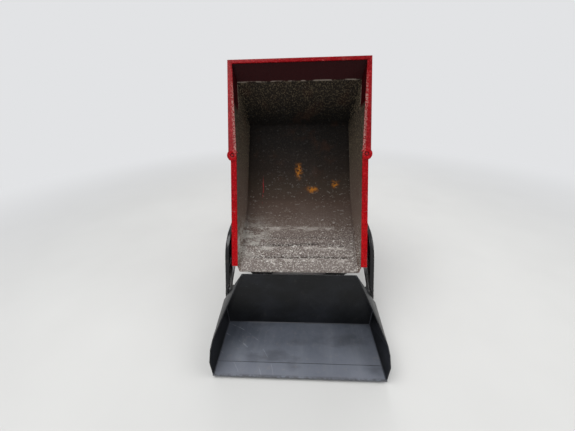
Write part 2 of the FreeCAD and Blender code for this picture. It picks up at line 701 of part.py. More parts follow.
def skip_cradle():
    """Two deep ribs under the floor with the hinge ears, a cross plate, and the clevis of the tipping ram."""
    under = SKIP_PLATE_T + WELD_GAP
    outside = skip_body(under)
    bend_y, bend_z = skip_point(SKIP_BEND[0], SKIP_BEND[1])
    heel_y, heel_z = skip_point(SKIP_HEEL[0] - 60, floor_depth(SKIP_HEEL[0] - 60))
    nose_share = (CRADLE_NOSE_S + SKIP_LIP_REACH) / (SKIP_BEND[0] + SKIP_LIP_REACH)
    nose_y, nose_z = skip_point(CRADLE_NOSE_S, SKIP_LIP_DROP + (SKIP_BEND[1] - SKIP_LIP_DROP) * nose_share)
    pivot_y, pivot_z = SKIP_PIVOT
    rib = side_plate(
        [
            (nose_y, nose_z, 0),
            (bend_y, bend_z, 0),
            (heel_y, heel_z, 0),
            (heel_y, heel_z - CRADLE_DEPTH, 20),
            (bend_y + 60, bend_z - CRADLE_DEPTH - 14, 40),
            (pivot_y + SKIP_EAR_R, pivot_z - SKIP_EAR_R, SKIP_EAR_R - 2),
            (pivot_y - SKIP_EAR_R, pivot_z - SKIP_EAR_R, SKIP_EAR_R - 2),
            (pivot_y - SKIP_EAR_R, pivot_z + 90, 30),
        ],
        CRADLE_HALF - CRADLE_T,
        CRADLE_HALF,
    )
    eye_y, eye_z = skip_point(TIP_EYE_S, tip_eye_depth())
    clevis = side_plate(
        [
            (eye_y - 80, eye_z + TIP_EYE_DROP + 20, 0),
            (eye_y + 80, eye_z + TIP_EYE_DROP + 20, 0),
            (eye_y + TIP_EYE_R, eye_z - TIP_EYE_R, TIP_EYE_R - 2),
            (eye_y - TIP_EYE_R, eye_z - TIP_EYE_R, TIP_EYE_R - 2),
        ],
        TIP_EYE_W / 2 + SIDE_GAP,
        TIP_EYE_W / 2 + SIDE_GAP + CRADLE_T,
    )
    near, far = CRADLE_CROSS_Y
    cross = side_plate(
        [
            (bend_y + near, bend_z, 0),
            (bend_y + far, bend_z, 0),
            (bend_y + far, bend_z - CRADLE_CROSS_DEPTH[1], 0),
            (bend_y + near, bend_z - CRADLE_CROSS_DEPTH[0], 0),
        ],
        -CRADLE_HALF,
        CRADLE_HALF,
    )
    rail = side_plate(
        [
            (eye_y - 40, bend_z, 0),
            (bend_y + CRADLE_RAIL_END_Y, bend_z - CRADLE_RAIL_TOP, 0),
            (bend_y + CRADLE_RAIL_END_Y, bend_z - CRADLE_CROSS_DEPTH[0], 0),
            (eye_y - 20, bend_z - 30, 0),
        ],
        TIP_EYE_W / 2 + SIDE_GAP,
        TIP_EYE_W / 2 + SIDE_GAP + CRADLE_T,
    )
    pin = rod_x(SKIP_PIVOT, SKIP_PIN_R, -RAIL_OUT + 4, RAIL_OUT - 4)
    cradle = fused(both(rib) + both(clevis) + both(rail) + [cross, pin])
    return tipped(cradle.cut(outside))


def floor_depth(s):
    """Depth of the skip's inside floor under its rim, behind the bend."""
    share = (s - SKIP_BEND[0]) / (SKIP_HEEL[0] - SKIP_BEND[0])
    return SKIP_BEND[1] + share * (SKIP_HEEL[1] - SKIP_BEND[1])


def tip_eye_depth():
    return SKIP_BEND[1] + SKIP_PLATE_T + TIP_EYE_DROP


# Loader arms and shovel


def band(path, half):
    """The outline of a bar of even width along a side-view path of (y, z, bend radius) points."""
    flat = [V(y, z, 0) for y, z, _ in path]
    runs = [(b - a).normalize() for a, b in zip(flat, flat[1:])]
    sides = []
    for way in (1, -1):
        side = []
        for i, (y, z, radius) in enumerate(path):
            ahead = runs[min(i, len(runs) - 1)]
            behind = runs[max(i - 1, 0)]
            across = V(-behind.y, behind.x, 0) + V(-ahead.y, ahead.x, 0)
            across = across * (1 / (1 + behind.dot(ahead)))
            turn = behind.x * ahead.y - behind.y * ahead.x
            bend = radius - way * half * (1 if turn > 0 else -1) if 0 < i < len(path) - 1 else 0
            point = flat[i] + across * (way * half)
            side.append((point.x, point.y, bend))
        sides.append(side)
    return sides[0] + sides[1][::-1]


def arm():
    """The right-hand arm: a flat bar that runs over the front wheel from its tower and down to the shovel."""
    path = [(*ARM_PIVOT, 0), (*ARM_BEND, ARM_BEND_R), (*CROWD_PIVOT, 0)]
    bar = side_plate(band(path, ARM_HALF), ARM_IN, ARM_OUT)
    ends = [rod_x(point, ARM_HALF, ARM_IN, ARM_OUT) for point in (ARM_PIVOT, CROWD_PIVOT)]
    boss_x = RAM_X + RAM_EYE_W / 2 + SIDE_GAP
    bosses = [rod_x(point, RAM_EYE_R, boss_x, ARM_IN) for point in (LIFT_EYE, CROWD_BASE)]
    crowd_pin = rod_x(CROWD_BASE, RAM_PIN_R, RAM_X - RAM_EYE_W / 2 - 4, ARM_IN)
    solid = fused([bar, crowd_pin] + bosses + ends)
    pivot_bore = rod_x(ARM_PIVOT, ARM_PIN_R + RUN_GAP, ARM_IN - 1, ARM_OUT + 1)
    end_bore = rod_x(CROWD_PIVOT, CROWD_PIN_R + RUN_GAP, ARM_IN - 1, ARM_OUT + 1)
    return solid.cut(pivot_bore).cut(end_bore)


def prism(faces):
    """A solid from flat faces, each a list of (x, y, z) corners."""
    shell = []
    for corners in faces:
        points = [V(*c) for c in corners]
        shell.append(Part.Face(Part.makePolygon(points + points[:1])))
    solid = Part.makeSolid(Part.makeShell(shell))
    if solid.Volume < 0:
        solid.reverse()
    return solid


def slab(corners, thickness):
    """A flat plate over the corners, with its thickness on the side that the corners turn round."""
    points = [V(*c) for c in corners]
    face = Part.Face(Part.makePolygon(points + points[:1]))
    normal = (points[1] - points[0]).cross(points[2] - points[1]).normalize()
    return face.extrude(normal * thickness)


def knee_point():
    """The back foot of the leaning plate, on the line of the shovel's back at knee height."""
    share = (SHOVEL_KNEE_Z - SHOVEL_BASE_Z) / (SHOVEL_THROAT[1] - SHOVEL_BASE_Z)
    y = SHOVEL_BACK_FOOT_Y + share * (SHOVEL_THROAT[0] - SHOVEL_BACK_FOOT_Y)
    return V(SHOVEL_HALF, y, SHOVEL_KNEE_Z)


def lean_outline():
    """The leaning plate's corners, with a slightly hollow free edge from the toe up to the throat."""
    knee = knee_point()
    toe = V(SHOVEL_HALF, *LEAN_TOE)
    top = V(SHOVEL_THROAT_HALF, *SHOVEL_THROAT)
    edge = []
    for share in (0.25, 0.5, 0.75):
        on_line = toe + (top - toe) * share
        edge.append(on_line + (knee - on_line) * (LEAN_HOLLOW * 4 * share * (1 - share)))
    return [knee, toe] + edge + [top]


def shovel_side():
    """The right-hand cheek: an upright plate with a chamfered toe, and one that leans in to the throat."""
    x = SHOVEL_HALF
    floor_z = SHOVEL_BASE_Z
    tip_y = SHOVEL_FRONT_Y + SHOVEL_TIP_SETBACK
    cheek = side_plate(
        [
            (tip_y, floor_z, 0),
            (tip_y, SHOVEL_TIP_Z, 0),
            (tip_y + SHOVEL_CHAMFER[0], SHOVEL_TIP_Z + SHOVEL_CHAMFER[1], 20),
            (*LEAN_TOE, 0),
            (knee_point().y, SHOVEL_KNEE_Z, 0),
            (SHOVEL_BACK_FOOT_Y, floor_z, 0),
        ],
        x - SHOVEL_PLATE_T,
        x,
    )
    lean = slab([(c.x, c.y, c.z) for c in lean_outline()], SHOVEL_PLATE_T)
    return [cheek, lean]


def shovel_bucket():
    floor = plan_plate(
        [
            (-SHOVEL_HALF, SHOVEL_FRONT_Y, 0),
            (SHOVEL_HALF, SHOVEL_FRONT_Y, 0),
            (SHOVEL_HALF, SHOVEL_BACK_FOOT_Y, 0),
            (-SHOVEL_HALF, SHOVEL_BACK_FOOT_Y, 0),
        ],
        SHOVEL_BASE_Z,
        SHOVEL_BASE_Z + SHOVEL_FLOOR_T,
    )
    throat_y, throat_z = SHOVEL_THROAT
    knee_y = knee_point().y
    back = slab(
        [
            (SHOVEL_HALF, SHOVEL_BACK_FOOT_Y, SHOVEL_BASE_Z),
            (-SHOVEL_HALF, SHOVEL_BACK_FOOT_Y, SHOVEL_BASE_Z),
            (-SHOVEL_HALF, knee_y, SHOVEL_KNEE_Z),
            (-SHOVEL_THROAT_HALF, throat_y, throat_z),
            (SHOVEL_THROAT_HALF, throat_y, throat_z),
            (SHOVEL_HALF, knee_y, SHOVEL_KNEE_Z),
        ],
        SHOVEL_PLATE_T,
    )
    sides = shovel_side()
    return fused([floor, back] + sides + [mirrored(s) for s in sides])


def shovel_back_y(z):
    """Where the rear face of the shovel's back stands at height z, with the weld gap added."""
    share = (z - SHOVEL_BASE_Z) / (SHOVEL_THROAT[1] - SHOVEL_BASE_Z)
    plane = SHOVEL_BACK_FOOT_Y + share * (SHOVEL_THROAT[0] - SHOVEL_BACK_FOOT_Y)
    return plane + SHOVEL_PLATE_T * 1.001 + WELD_GAP


def shovel_ear():
    """The right-hand clevis behind the shovel: two plates, the crowd pin through them and the arm's end."""
    (cy, cz), (ly, lz) = CROWD_PIVOT, CROWD_LEVER
    outline = [
        (shovel_back_y(EAR_LOW_Z), EAR_LOW_Z, 0),
        (cy + 14, cz - 44, 24),
        (cy + 34, cz + 16, 30),
        (ly + 24, lz + 24, 20),
        (shovel_back_y(lz + 24), lz + 24, 0),
    ]
    inner = SHOVEL_EAR_IN
    outer = SHOVEL_EAR_IN + SHOVEL_EAR_T + SHOVEL_EAR_GAP
    plates = [side_plate(outline, x, x + SHOVEL_EAR_T) for x in (inner, outer)]
    pin = rod_x(CROWD_PIVOT, CROWD_PIN_R, inner - 6, ARM_OUT + 2)
    return fused(plates + [pin])


# Cylinders


def along(base, end):
    direction = end - base
    return direction.normalize()


def ram_barrel(base, end, eye_axis, barrel_r, rod_r, length, eye_r, eye_w, pin_r):
    """A cylinder barrel from its base eye towards end, bored for its rod."""
    d = along(base, end)
    eye = Part.makeCylinder(eye_r, eye_w, base - eye_axis * (eye_w / 2), eye_axis)
    tube_start = eye_r + RAM_NECK_L
    neck = Part.makeCylinder(min(eye_w / 2, barrel_r) * 0.9, tube_start + 2, base, d)
    tube = Part.makeCylinder(barrel_r, length - tube_start, base + d * tube_start, d)
    gland = Part.makeCylinder(barrel_r + 2, 26, base + d * (length - 30), d)
    solid = eye.fuse([neck, tube, gland]).removeSplitter()
    bore = Part.makeCylinder(rod_r + 0.5, length, base + d * (tube_start + RAM_END_T), d)
    pin_hole = Part.makeCylinder(pin_r + RUN_GAP, eye_w + 2, base - eye_axis * (eye_w / 2 + 1), eye_axis)
    return solid.cut(bore).cut(pin_hole)


def ram_rod(base, end, eye_axis, rod_r, inside, eye_r, eye_w):
    """A rod from inside the barrel to its eye, whose pin stays in the eye."""
    d = along(base, end)
    eye = Part.makeCylinder(eye_r, eye_w, end - eye_axis * (eye_w / 2), eye_axis)
    start = base + d * inside
    stem_length = (end - start).Length - eye_r * 0.6
    stem = Part.makeCylinder(rod_r, stem_length, start, d)
    return eye.fuse(stem).removeSplitter()


def side_ram(base, end, barrel_r, rod_r, length, side, inside):
    x = side * RAM_X
    a, b, axis = V(x, *base), V(x, *end), V(1, 0, 0)
    barrel = ram_barrel(a, b, axis, barrel_r, rod_r, length, RAM_EYE_R, RAM_EYE_W, RAM_PIN_R)
    rod = ram_rod(a, b, axis, rod_r, inside, RAM_EYE_R - 2, RAM_EYE_W)
    return barrel, rod


def tip_ram():
    eye = tipped_point(skip_point(TIP_EYE_S, tip_eye_depth()))
    a, b, axis = V(0, *TIP_BASE), V(0, *eye), V(1, 0, 0)
    barrel = ram_barrel(a, b, axis, TIP_BARREL_R, TIP_ROD_R, TIP_BARREL_L, TIP_EYE_R, TIP_EYE_W, TIP_PIN_R)
    rod = ram_rod(a, b, axis, TIP_ROD_R, TIP_ROD_INSIDE, TIP_EYE_R - 2, TIP_EYE_W)
    return barrel, rod


def steer_ram():
    a = V(*STEER_BASE, STEER_RAM_Z)
    b = V(*STEER_EYE, STEER_RAM_Z)
    axis = V(0, 0, 1)
    sizes = (STEER_BARREL_R, STEER_ROD_R, STEER_BARREL_L, STEER_EYE_R, STEER_EYE_W, RAM_PIN_R)
    barrel = ram_barrel(a, b, axis, *sizes)
    rod = ram_rod(a, b, axis, STEER_ROD_R, STEER_ROD_INSIDE, STEER_EYE_R - 2, STEER_EYE_W)
    return barrel, rod


# Rear frame and what it carries


def rear_frame():
    rail = box(RAIL_IN, RAIL_OUT, REAR_NOSE_Y, REAR_TAIL_Y, RAIL_LOW, REAR_RAIL_HIGH)
    gap_low = STEER_EAR_LOW_Z + STEER_EAR_T + SIDE_GAP
    gap_high = STEER_EAR_HIGH_Z - SIDE_GAP
    neck = plan_plate(
        [
            (-RAIL_IN, REAR_NOSE_Y + CROSS_T, 0),
            (-NECK_HALF, STEER_PIVOT_Y - NECK_HALF, NECK_HALF - 1),
            (NECK_HALF, STEER_PIVOT_Y - NECK_HALF, NECK_HALF - 1),
            (RAIL_IN, REAR_NOSE_Y + CROSS_T, 0),
        ],
        gap_low,
        gap_high,
    )
    x, high = RAIL_IN, REAR_RAIL_HIGH
    cross_y = REAR_NOSE_Y + CROSS_T - 5
    rops_x, rops_y = ROPS_X + ROPS_TUBE_R + 5, ROPS_TUBE_R + 1
    crosses = [
        box(-x, x, cross_y, cross_y + 40, RAIL_LOW, high),
        box(-rops_x, rops_x, ROPS_Y - rops_y, ROPS_Y + rops_y, high - 60, high),
        box(-x, x, REAR_TAIL_Y - 40, REAR_TAIL_Y, RAIL_LOW, high),
    ]
    eye_x, eye_y = STEER_EYE
    levels = steer_lug_levels()
    web_y = eye_y + STEER_WEB_GAP
    bracket = [box(-RAIL_OUT, -RAIL_IN, web_y, web_y + 16, levels[0], RAIL_LOW + 1)]
    for z in levels:
        bracket.append(box(eye_x - STEER_EYE_R, -RAIL_IN, eye_y - STEER_EYE_R, web_y + 16, z, z + RAM_LUG_T))
    frame = fused(both(rail) + [neck] + crosses + bracket)
    pin_bore = rod_z(0, STEER_PIVOT_Y, STEER_PIN_R + RUN_GAP, gap_low - 1, gap_high + 1)
    return frame.cut(pin_bore)


def counterweight():
    """The cast block across the tail, with a towing jaw, its pin hole and the cowl's two hinge posts."""
    front_y = REAR_TAIL_Y + WELD_GAP
    low, high = COUNTER_Z
    plan = [
        (-COUNTER_HALF, front_y, 0),
        (COUNTER_HALF, front_y, 0),
        (COUNTER_HALF, REAR_END_Y, COUNTER_ROUND),
        (-COUNTER_HALF, REAR_END_Y, COUNTER_ROUND),
    ]
    block = plan_plate(plan, low, high)
    hinge_y, hinge_z = COWL_HINGE
    x0, x1 = HINGE_X[1] + SIDE_GAP, HINGE_X[1] + SIDE_GAP + 2 * HINGE_PIN_R
    post = box(x0, x1, hinge_y - HINGE_R, hinge_y + HINGE_R, high - 1, hinge_z)
    pin = rod_x(COWL_HINGE, HINGE_PIN_R, HINGE_X[0] - SIDE_GAP, x1)
    posts = [post, rod_x(COWL_HINGE, HINGE_R, x0, x1), pin]
    solid = fused([block] + [s for piece in posts for s in both(piece)])
    jaw = box(-JAW_HALF, JAW_HALF, REAR_END_Y - JAW_DEPTH, REAR_END_Y + 1, *JAW_Z)
    pin_hole = rod_z(0, REAR_END_Y - TOW_PIN_BACK, TOW_PIN_BORE_R, low - 1, high + 1)
    return solid.cut(jaw).cut(pin_hole)


def floor_plate():
    """The deck between the rails, with a footboard at each side in front of the rear wheels."""
    right = [
        (FOOT_HALF, DECK_FRONT_Y, 20),
        (FOOT_HALF, FOOT_REAR_Y, 20),
        (DECK_HALF, FOOT_REAR_Y, 0),
        (DECK_HALF, DECK_REAR_Y, 0),
    ]
    return plan_plate(right + [(-x, y, r) for x, y, r in reversed(right)], DECK_Z, DECK_Z + DECK_T)


def side_tank():
    """The right-hand tank under the footboard: a rounded box against the rail, with its filler cap."""
    y0, y1 = TANK_Y
    high = DECK_Z - WELD_GAP
    outline = [
        (y0, TANK_LOW_Z, TANK_ROUND),
        (y1, TANK_LOW_Z, TANK_ROUND),
        (y1, high, TANK_ROUND),
        (y0, high, TANK_ROUND),
    ]
    body = side_plate(outline, RAIL_OUT + WELD_GAP, FOOT_HALF)
    filler_z = high - 2 * FILLER_R
    return fused([body, rod_x(((y0 + y1) / 2, filler_z), FILLER_R, FOOT_HALF, FOOT_HALF + FILLER_L)])


def console():
    """The steering console: a tapered pedestal with a sloping top, and the column that the wheel turns on."""
    foot = DECK_Z + DECK_T + WELD_GAP
    y0, y1 = CONSOLE_Y
    outline = [
        (y0, foot, 0),
        (y1 - 10, foot, 0),
        (y1, CONSOLE_TOP_Z - CONSOLE_SLOPE_H, CONSOLE_ROUND),
        (y1 - 50, CONSOLE_TOP_Z - 30, 30),
        (y0 + 24, CONSOLE_TOP_Z, 20),
    ]
    pedestal = side_plate(outline, -CONSOLE_HALF, CONSOLE_HALF)
    normal = wheel_normal()
    column_end = V(*WHEEL_CENTRE) - normal * (WHEEL_HUB_LOW + WELD_GAP + COLUMN_L)
    return fused([pedestal, Part.makeCylinder(COLUMN_R, COLUMN_L, column_end, normal)])


def wheel_normal():
    lean = math.radians(WHEEL_LEAN_DEG)
    return V(0, math.sin(lean), math.cos(lean))


def steering_wheel():
    """A three-spoke wheel with its hub."""
    centre, normal = V(*WHEEL_CENTRE), wheel_normal()
    pieces = [Part.makeTorus(WHEEL_RING_R, WHEEL_RING_T, centre, normal)]
    pieces.append(Part.makeCylinder(WHEEL_HUB_R, WHEEL_HUB_L, centre - normal * WHEEL_HUB_LOW, normal))
    across = normal.cross(V(1, 0, 0))
    for i in range(3):
        turn = math.pi / 2 + 2 * math.pi * i / 3
        direction = V(1, 0, 0) * math.cos(turn) + across * math.sin(turn)
        spoke_l = WHEEL_RING_R - WHEEL_RING_T / 2
        pieces.append(Part.makeCylinder(WHEEL_SPOKE_R, spoke_l, centre, direction))
    return fused(pieces)


def seat_box():
    """The panel box under the seat, open below, with an apron down to the deck in front."""
    y0, y1 = SEAT_BOX_Y
    x, t = SEAT_BOX_HALF, PANEL_T
    low = 2 * TYRE_R + FENDER_GAP + FENDER_T + WELD_GAP
    outer = box(-x, x, y0, y1, low, SEAT_BOX_TOP_Z)
    inner = box(t - x, x - t, y0 + t, y1 - t, low - 1, SEAT_BOX_TOP_Z - t)
    apron = box(-DECK_HALF, DECK_HALF, y0, y0 + t, DECK_Z, low + 1)
    return fused([outer.cut(inner), apron])


def seat():
    """A cushion and a leaning back rest."""
    y0, y1 = SEAT_Y
    low = SEAT_BOX_TOP_Z + WELD_GAP
    high = SEAT_BOX_TOP_Z + SEAT_T
    foot_y, top_y = y1 - 50, y1 - 50 + SEAT_BACK_LEAN
    top_z = SEAT_BOX_TOP_Z + SEAT_BACK_H
    cushion = [(y0, low, 10), (y1 - 10, low, 10), (y1, high, 30), (y0, high, 36)]
    back = [
        (foot_y, high - 10, 10),
        (foot_y + SEAT_BACK_T - 4, high - 10, 10),
        (top_y + SEAT_BACK_T, top_z - 6, 20),
        (top_y - 14, top_z, 20),
    ]
    pads = [
        side_plate(cushion, -SEAT_HALF, SEAT_HALF),
        side_plate(back, -SEAT_BACK_HALF, SEAT_BACK_HALF),
    ]
    return fused(pads)


def rounded_shell_box(half, y0, y1, low, high, radius):
    """A box whose rear and top rear edges are rounded, for the cowl's outside and inside."""
    body = box(-half, half, y0, y1, low, high)
    edges = [e for e in body.Edges if e.BoundBox.YMin > y1 - 1 and e.BoundBox.ZMax > low + 1]
    return body.makeFillet(radius, edges)


def cowl():
    """The engine cowl at the tail: a rounded shell open below and in front, with louvres and hinges."""
    y0, y1 = COWL_Y
    low = COUNTER_Z[1] + 0.5
    t = PANEL_T
    outer = rounded_shell_box(COWL_HALF, y0, y1, low, COWL_TOP_Z, COWL_ROUND)
    inner = rounded_shell_box(COWL_HALF - t, y0 - 1, y1 - t, low - 1, COWL_TOP_Z - t, COWL_ROUND - t)
    shell = outer.cut(inner)
    slots = []
    for i in range(REAR_LOUVRES):
        z = LOUVRE_LOW_Z + i * LOUVRE_PITCH
        slots.append(box(-REAR_LOUVRE_HALF, REAR_LOUVRE_HALF, y1 - t - 1, y1 + 1, z, z + LOUVRE_H))
    for i in range(SIDE_LOUVRES):
        z = LOUVRE_LOW_Z + i * LOUVRE_PITCH
        slots.append(box(-COWL_HALF - 1, COWL_HALF + 1, *SIDE_LOUVRE_Y, z, z + LOUVRE_H))
    hinge_y, hinge_z = COWL_HINGE
    leaf = box(*HINGE_X, y1 - 1, hinge_y, hinge_z - HINGE_PIN_R, hinge_z + HINGE_PIN_R)
    knuckle = rod_x(COWL_HINGE, HINGE_R, *HINGE_X)
    solid = fused([shell.cut(Part.makeCompound(slots))] + both(leaf) + both(knuckle))
    return solid.cut(rod_x(COWL_HINGE, HINGE_PIN_R + RUN_GAP, -HINGE_X[1] - 1, HINGE_X[1] + 1))


def engine():
    low = REAR_RAIL_HIGH + WELD_GAP
    return box(-ENGINE_HALF, ENGINE_HALF, *ENGINE_Y, low, ENGINE_TOP_Z)


def fender():
    """The right-hand mudguard: a curved band over the rear wheel with a cheek plate down to the frame."""
    inner = TYRE_R + FENDER_GAP
    outer = inner + FENDER_T
    x0, x1 = RAIL_OUT + WELD_GAP, WHEEL_X + TYRE_W / 2 + FENDER_LIP
    low = TYRE_R + FENDER_LOW
    centre = (REAR_AXLE_Y, TYRE_R)
    keep = box(x0, x1, REAR_AXLE_Y - outer, REAR_AXLE_Y + outer, low, TYRE_R + outer + 1)
    arch = rod_x(centre, outer, x0, x1).cut(rod_x(centre, inner, x0, x1)).common(keep)
    cheek = rod_x(centre, outer - 1, x0, x0 + PANEL_T).common(keep)
    return fused([arch, cheek])


def rops_post():
    """The right-hand fixed post of the roll bar with its hinge fork."""
    r, t = ROPS_TUBE_R, ROPS_FORK_T
    stop = ROPS_HINGE_Z - math.hypot(r, r + 1) - ROPS_END_GAP
    post = rod_z(ROPS_X, ROPS_Y, r, DECK_Z, stop)
    outline = [
        (ROPS_Y - 30, ROPS_HINGE_Z - 70, 0),
        (ROPS_Y + 30, ROPS_HINGE_Z - 70, 0),
        (ROPS_Y + 30, ROPS_HINGE_Z + 30, 29),
        (ROPS_Y - 30, ROPS_HINGE_Z + 30, 29),
    ]
    outer_x = ROPS_X + r + 1
    inner_x = ROPS_X - r - 1 - t
    forks = [side_plate(outline, x, x + t) for x in (inner_x, outer_x)]
    bridge = box(inner_x, outer_x + t, ROPS_Y - 20, ROPS_Y + 20, stop - 24, stop)
    pin = rod_x((ROPS_Y, ROPS_HINGE_Z), ROPS_PIN_R, inner_x - 7, outer_x + t + 7)
    return fused([post, bridge, pin] + forks)


def rops_hoop():
    """The folding upper hoop of the roll bar."""
    low, top, r = ROPS_HINGE_Z - ROPS_TUBE_R - 1, ROPS_TOP_Z - ROPS_TUBE_R, ROPS_BEND_R
    left = [(-ROPS_X, low), (-ROPS_X, top - r), (-ROPS_X + r, top)]
    path = left + [(-x, z) for x, z in reversed(left)]
    a, b, c, d, e, f = [V(x, ROPS_Y, z) for x, z in path]
    k = r * (1 - math.sqrt(0.5))
    first, second = [V(side * (ROPS_X - k), ROPS_Y, top - k) for side in (-1, 1)]
    line = Part.Wire(
        [
            Part.LineSegment(a, b).toShape(),
            Part.Arc(b, first, c).toShape(),
            Part.LineSegment(c, d).toShape(),
            Part.Arc(d, second, e).toShape(),
            Part.LineSegment(e, f).toShape(),
        ]
    )
    section = Part.Wire([Part.makeCircle(ROPS_TUBE_R, a, V(0, 0, 1))])
    hoop = line.makePipeShell([section], True, False)
    reach = ROPS_X + 2 * ROPS_TUBE_R
    return hoop.cut(rod_x((ROPS_Y, ROPS_HINGE_Z), ROPS_PIN_R + RUN_GAP, -reach, reach))


def parts():
    made = {
        "front_frame": front_frame(),
        "front_axle": axle(FRONT_AXLE_Y),
        "rear_axle": axle(REAR_AXLE_Y),
        "arm_towers": Part.makeCompound(both(tower())),
        "skip_tub": skip_tub(),
        "skip_rim": skip_rim(),
        "skip_cradle": skip_cradle(),
        "arm_right": arm(),
        "arm_left": mirrored(arm()),
        "shovel_bucket": shovel_bucket(),
        "shovel_ears": Part.makeCompound(both(shovel_ear())),
        "rear_frame": rear_frame(),
        "counterweight": counterweight(),
        "floor_plate": floor_plate(),
        "console": console(),
        "steering_wheel": steering_wheel(),
        "seat_box": seat_box(),
        "seat": seat(),
        "cowl": cowl(),
        "engine": engine(),
        "rops_posts": Part.makeCompound(both(rops_post())),
        "rops_hoop": rops_hoop(),
        "fenders": Part.makeCompound(both(fender())),
        "side_tanks": Part.makeCompound(both(side_tank())),
    }
    made["tip_barrel"], made["tip_rod"] = tip_ram()
    made["steer_barrel"], made["steer_rod"] = steer_ram()
    rams = {
        "lift": (LIFT_BASE, LIFT_EYE, LIFT_BARREL_R, LIFT_ROD_R, LIFT_BARREL_L, LIFT_ROD_INSIDE),
        "crowd": (CROWD_BASE, CROWD_LEVER, CROWD_BARREL_R, CROWD_ROD_R, CROWD_BARREL_L, CROWD_ROD_INSIDE),
    }
    bare_tyre = tyre()
    for side, end in ((1, "right"), (-1, "left")):
        for name, (base, eye, barrel_r, rod_r, length, inside) in rams.items():
            barrel, rod = side_ram(base, eye, barrel_r, rod_r, length, side, inside)
            made[f"{name}_barrel_{end}"] = barrel
            made[f"{name}_rod_{end}"] = rod
        for place, y in (("front", FRONT_AXLE_Y), ("rear", REAR_AXLE_Y)):
            made[f"tyre_{place}_{end}"] = placed_tyre(bare_tyre, side * WHEEL_X, y)
            made[f"wheel_{place}_{end}"] = wheel_rim(side, side * WHEEL_X, y)
    return made


PAIRED = ("arm_towers", "shovel_ears", "rops_posts", "fenders", "side_tanks")


def main():
    os.makedirs("parts", exist_ok=True)
    for name, shape in parts().items():
        if not shape.isValid():
            print("not valid:", name)
        if len(shape.Solids) != (2 if name in PAIRED else 1):
            print("solids in", name, len(shape.Solids))
        shape.exportStep(os.path.join("parts", name + ".step"))


main()
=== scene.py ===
"""A small self-loading site dumper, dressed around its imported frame: a tipped red skip, two black loader
arms that arch over the front wheels, and a wide black shovel on the ground."""

import json
import math
import random

import bmesh
import bpy
from mathutils import Matrix, Vector


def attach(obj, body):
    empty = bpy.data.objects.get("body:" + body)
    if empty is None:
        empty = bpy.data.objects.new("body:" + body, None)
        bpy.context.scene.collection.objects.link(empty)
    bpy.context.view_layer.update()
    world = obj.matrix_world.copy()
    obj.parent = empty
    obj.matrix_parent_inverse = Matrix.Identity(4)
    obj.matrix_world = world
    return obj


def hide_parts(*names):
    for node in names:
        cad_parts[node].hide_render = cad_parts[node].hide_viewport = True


bl_info = {
    "name": "Site Dumper",
    "version": (1, 0, 0),
    "blender": (4, 5, 0),
    "location": "View3D > Sidebar > Dumper",
    "description": "Dresses the site dumper's frame with paint, dirt, welds, tread, seat and fittings",
    "category": "Object",
}

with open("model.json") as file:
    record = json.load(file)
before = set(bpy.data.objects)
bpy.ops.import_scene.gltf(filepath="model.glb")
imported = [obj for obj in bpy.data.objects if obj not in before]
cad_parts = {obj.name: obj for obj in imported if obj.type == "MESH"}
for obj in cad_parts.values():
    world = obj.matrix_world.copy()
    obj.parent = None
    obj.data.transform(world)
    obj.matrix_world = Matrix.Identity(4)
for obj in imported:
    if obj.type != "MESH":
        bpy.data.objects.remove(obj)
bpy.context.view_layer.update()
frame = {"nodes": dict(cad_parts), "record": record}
NODES = frame["nodes"]
BODY_OF = {node: body for body, nodes in frame["record"]["behaviour"]["bodies"].items() for node in nodes}

# Photograph
FRAME_WIDTH_PX = 575
FOCAL_PX = 232.0
SENSOR_MM = 36.0
CAMERA_AT = (0.0, -2.280, 1.530)
PITCH_DEG = 27.8
YAW_DEG = 3.1
ROLL_DEG = 1.4

# Skip, in metres: s runs back along the level rim, depth runs down from it
SKIP_PIVOT = Vector((0.0, -0.700, 0.600))
SKIP_TIP = math.radians(64.7)
SKIP_FRONT_Y = -0.922
SKIP_RIM_Z = 0.969
SKIP_LIP = (-0.033, 0.005)
SKIP_BEND = (0.421, 0.236)
SKIP_HEEL = (0.998, 0.336)
SKIP_REAR = (1.260, 0.0)
SKIP_LUG_S = 0.700
SKIP_RING_X = 0.413
FLOOR_HALF = 0.375
TOP_HALF = (0.389, 0.412)
PLATE_T = 0.005
# How much the rim's half width grows for each metre behind its rings
RIM_FLARE = (TOP_HALF[1] - TOP_HALF[0]) / (SKIP_REAR[0] - SKIP_LUG_S)

# Shovel
SHOVEL_HALF = 0.520
SHOVEL_FRONT_Y = -1.509
SHOVEL_FLOOR_Z = 0.030
SHOVEL_BACK_Y = -1.135
SHOVEL_THROAT = (-1.152, 0.506)
SHOVEL_KNEE_Z = 0.262

# Wheels
WHEEL_SPOTS = {
    "front_right": (0.331, -0.480),
    "front_left": (-0.331, -0.480),
    "rear_right": (0.331, 0.900),
    "rear_left": (-0.331, 0.900),
}
TYRE_R = 0.292
TYRE_W = 0.212
RIM_R = 0.158
LUG_COUNT = 12
LUG_H = 0.018
LUG_HALF = 0.013
LUG_SWEEP = 0.019

DECK_TOP = 0.5063

dice = random.Random(7)


def srgb(red, green, blue):
    """A colour given as on a screen, 0 to 255, as the linear value that a shader takes."""
    linear = []
    for part in (red, green, blue):
        c = part / 255.0
        linear.append(c / 12.92 if c <= 0.04045 else ((c + 0.055) / 1.055) ** 2.4)
    return (*linear, 1.0)


# Shader maths


